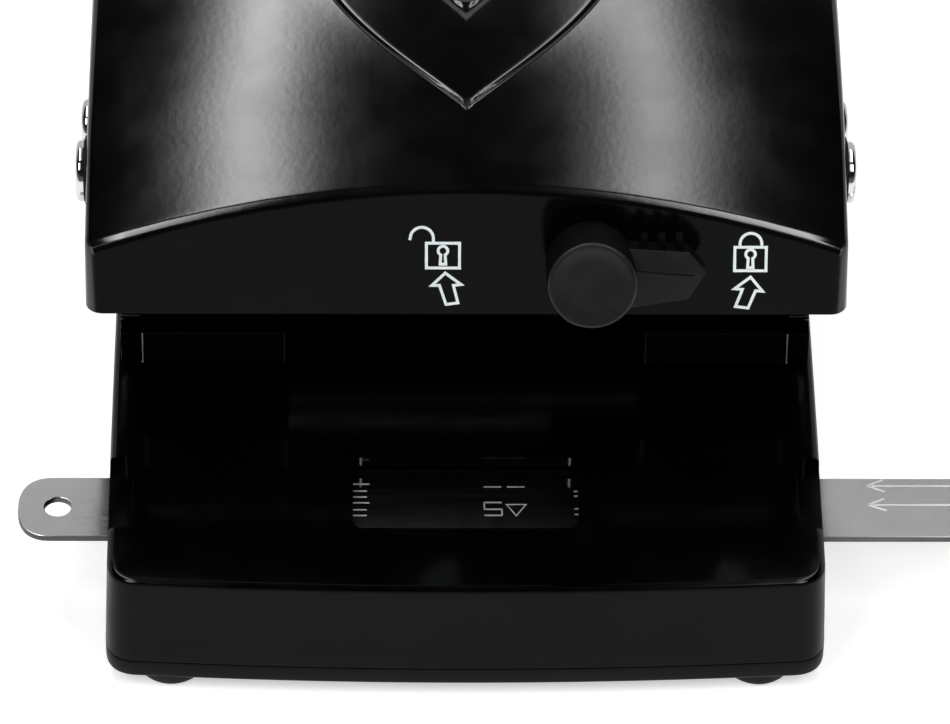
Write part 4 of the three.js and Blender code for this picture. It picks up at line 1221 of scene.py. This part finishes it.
def soft_light(name, place, target_y, size, fade, power):
    """An area light whose sides fade out; fade is the spread of its middle, as a share of its width."""
    light = bpy.data.lights.new(name, "AREA")
    light.shape = "RECTANGLE"
    light.size, light.size_y = size
    light.energy = power
    light.use_nodes = True
    tree = light.node_tree
    spot = tree.nodes.new("ShaderNodeNewGeometry")
    across = add_node(tree, "ShaderNodeSeparateXYZ", {0: spot.outputs["Parametric"]}).outputs["X"]
    away = math_node(tree, "DIVIDE", math_node(tree, "SUBTRACT", across, 0.5), fade * math.sqrt(2))
    power_of = math_node(tree, "MULTIPLY", math_node(tree, "POWER", away, 2.0), -1.0)
    feed(tree, tree.nodes["Emission"], {"Strength": math_node(tree, "EXPONENT", power_of)})
    place = Vector(place)
    out = Vector((0, place.y - target_y, place.z)).normalized()
    side = Vector((0, 1, 0)).cross(out).normalized()
    turn = Matrix((side, out.cross(side), out)).transposed().to_4x4()
    new_object(name, light).matrix_world = Matrix.Translation(place) @ turn


def build_lights():
    """A long strip overhead and a panel in front, on the left and on the right."""
    for hand, strip_x, strip_power, panel_x, panel_power in SIDE_LIGHTS:
        soft_light(hand + "_strip", (strip_x, STRIP_Y, STRIP_Z), STRIP_Y, STRIP_SIZE, STRIP_FADE, strip_power)
        soft_light(hand + "_panel", (panel_x, PANEL_Y, PANEL_Z), 0, PANEL_SIZE, PANEL_FADE, panel_power)


def build_camera():
    down, yaw, roll = (math.radians(a) for a in (CAMERA_DOWN, CAMERA_YAW, CAMERA_ROLL))
    right = Vector((math.cos(yaw), math.sin(yaw), 0))
    back = Vector((math.sin(yaw) * math.cos(down), -math.cos(yaw) * math.cos(down), math.sin(down)))
    up = back.cross(right)
    turned_right = right * math.cos(roll) + up * math.sin(roll)
    turned_up = up * math.cos(roll) - right * math.sin(roll)
    camera = bpy.data.cameras.new("photo_camera")
    camera.sensor_width = SENSOR
    camera.sensor_fit = "HORIZONTAL"
    camera.lens = FOCAL_PIXELS * SENSOR / PHOTO_WIDTH
    camera.clip_start = 0.05
    obj = new_object("photo_camera", camera)
    turn = Matrix((turned_right, turned_up, back)).transposed().to_4x4()
    obj.matrix_world = Matrix.Translation(Vector(CAMERA_PLACE) * MM) @ turn
    bpy.context.scene.camera = obj


bpy.context.scene.view_settings.view_transform = "Standard"
build_camera()
build_stage()
build_world()
build_lights()
all_looks = make_materials()
for build in (dress_nodes, build_hood, build_grip, build_base, build_tray, build_knob, build_signs, build_bar,
              build_bar_marks, build_front_feet, build_bolt_heads, build_springs):
    build(all_looks)
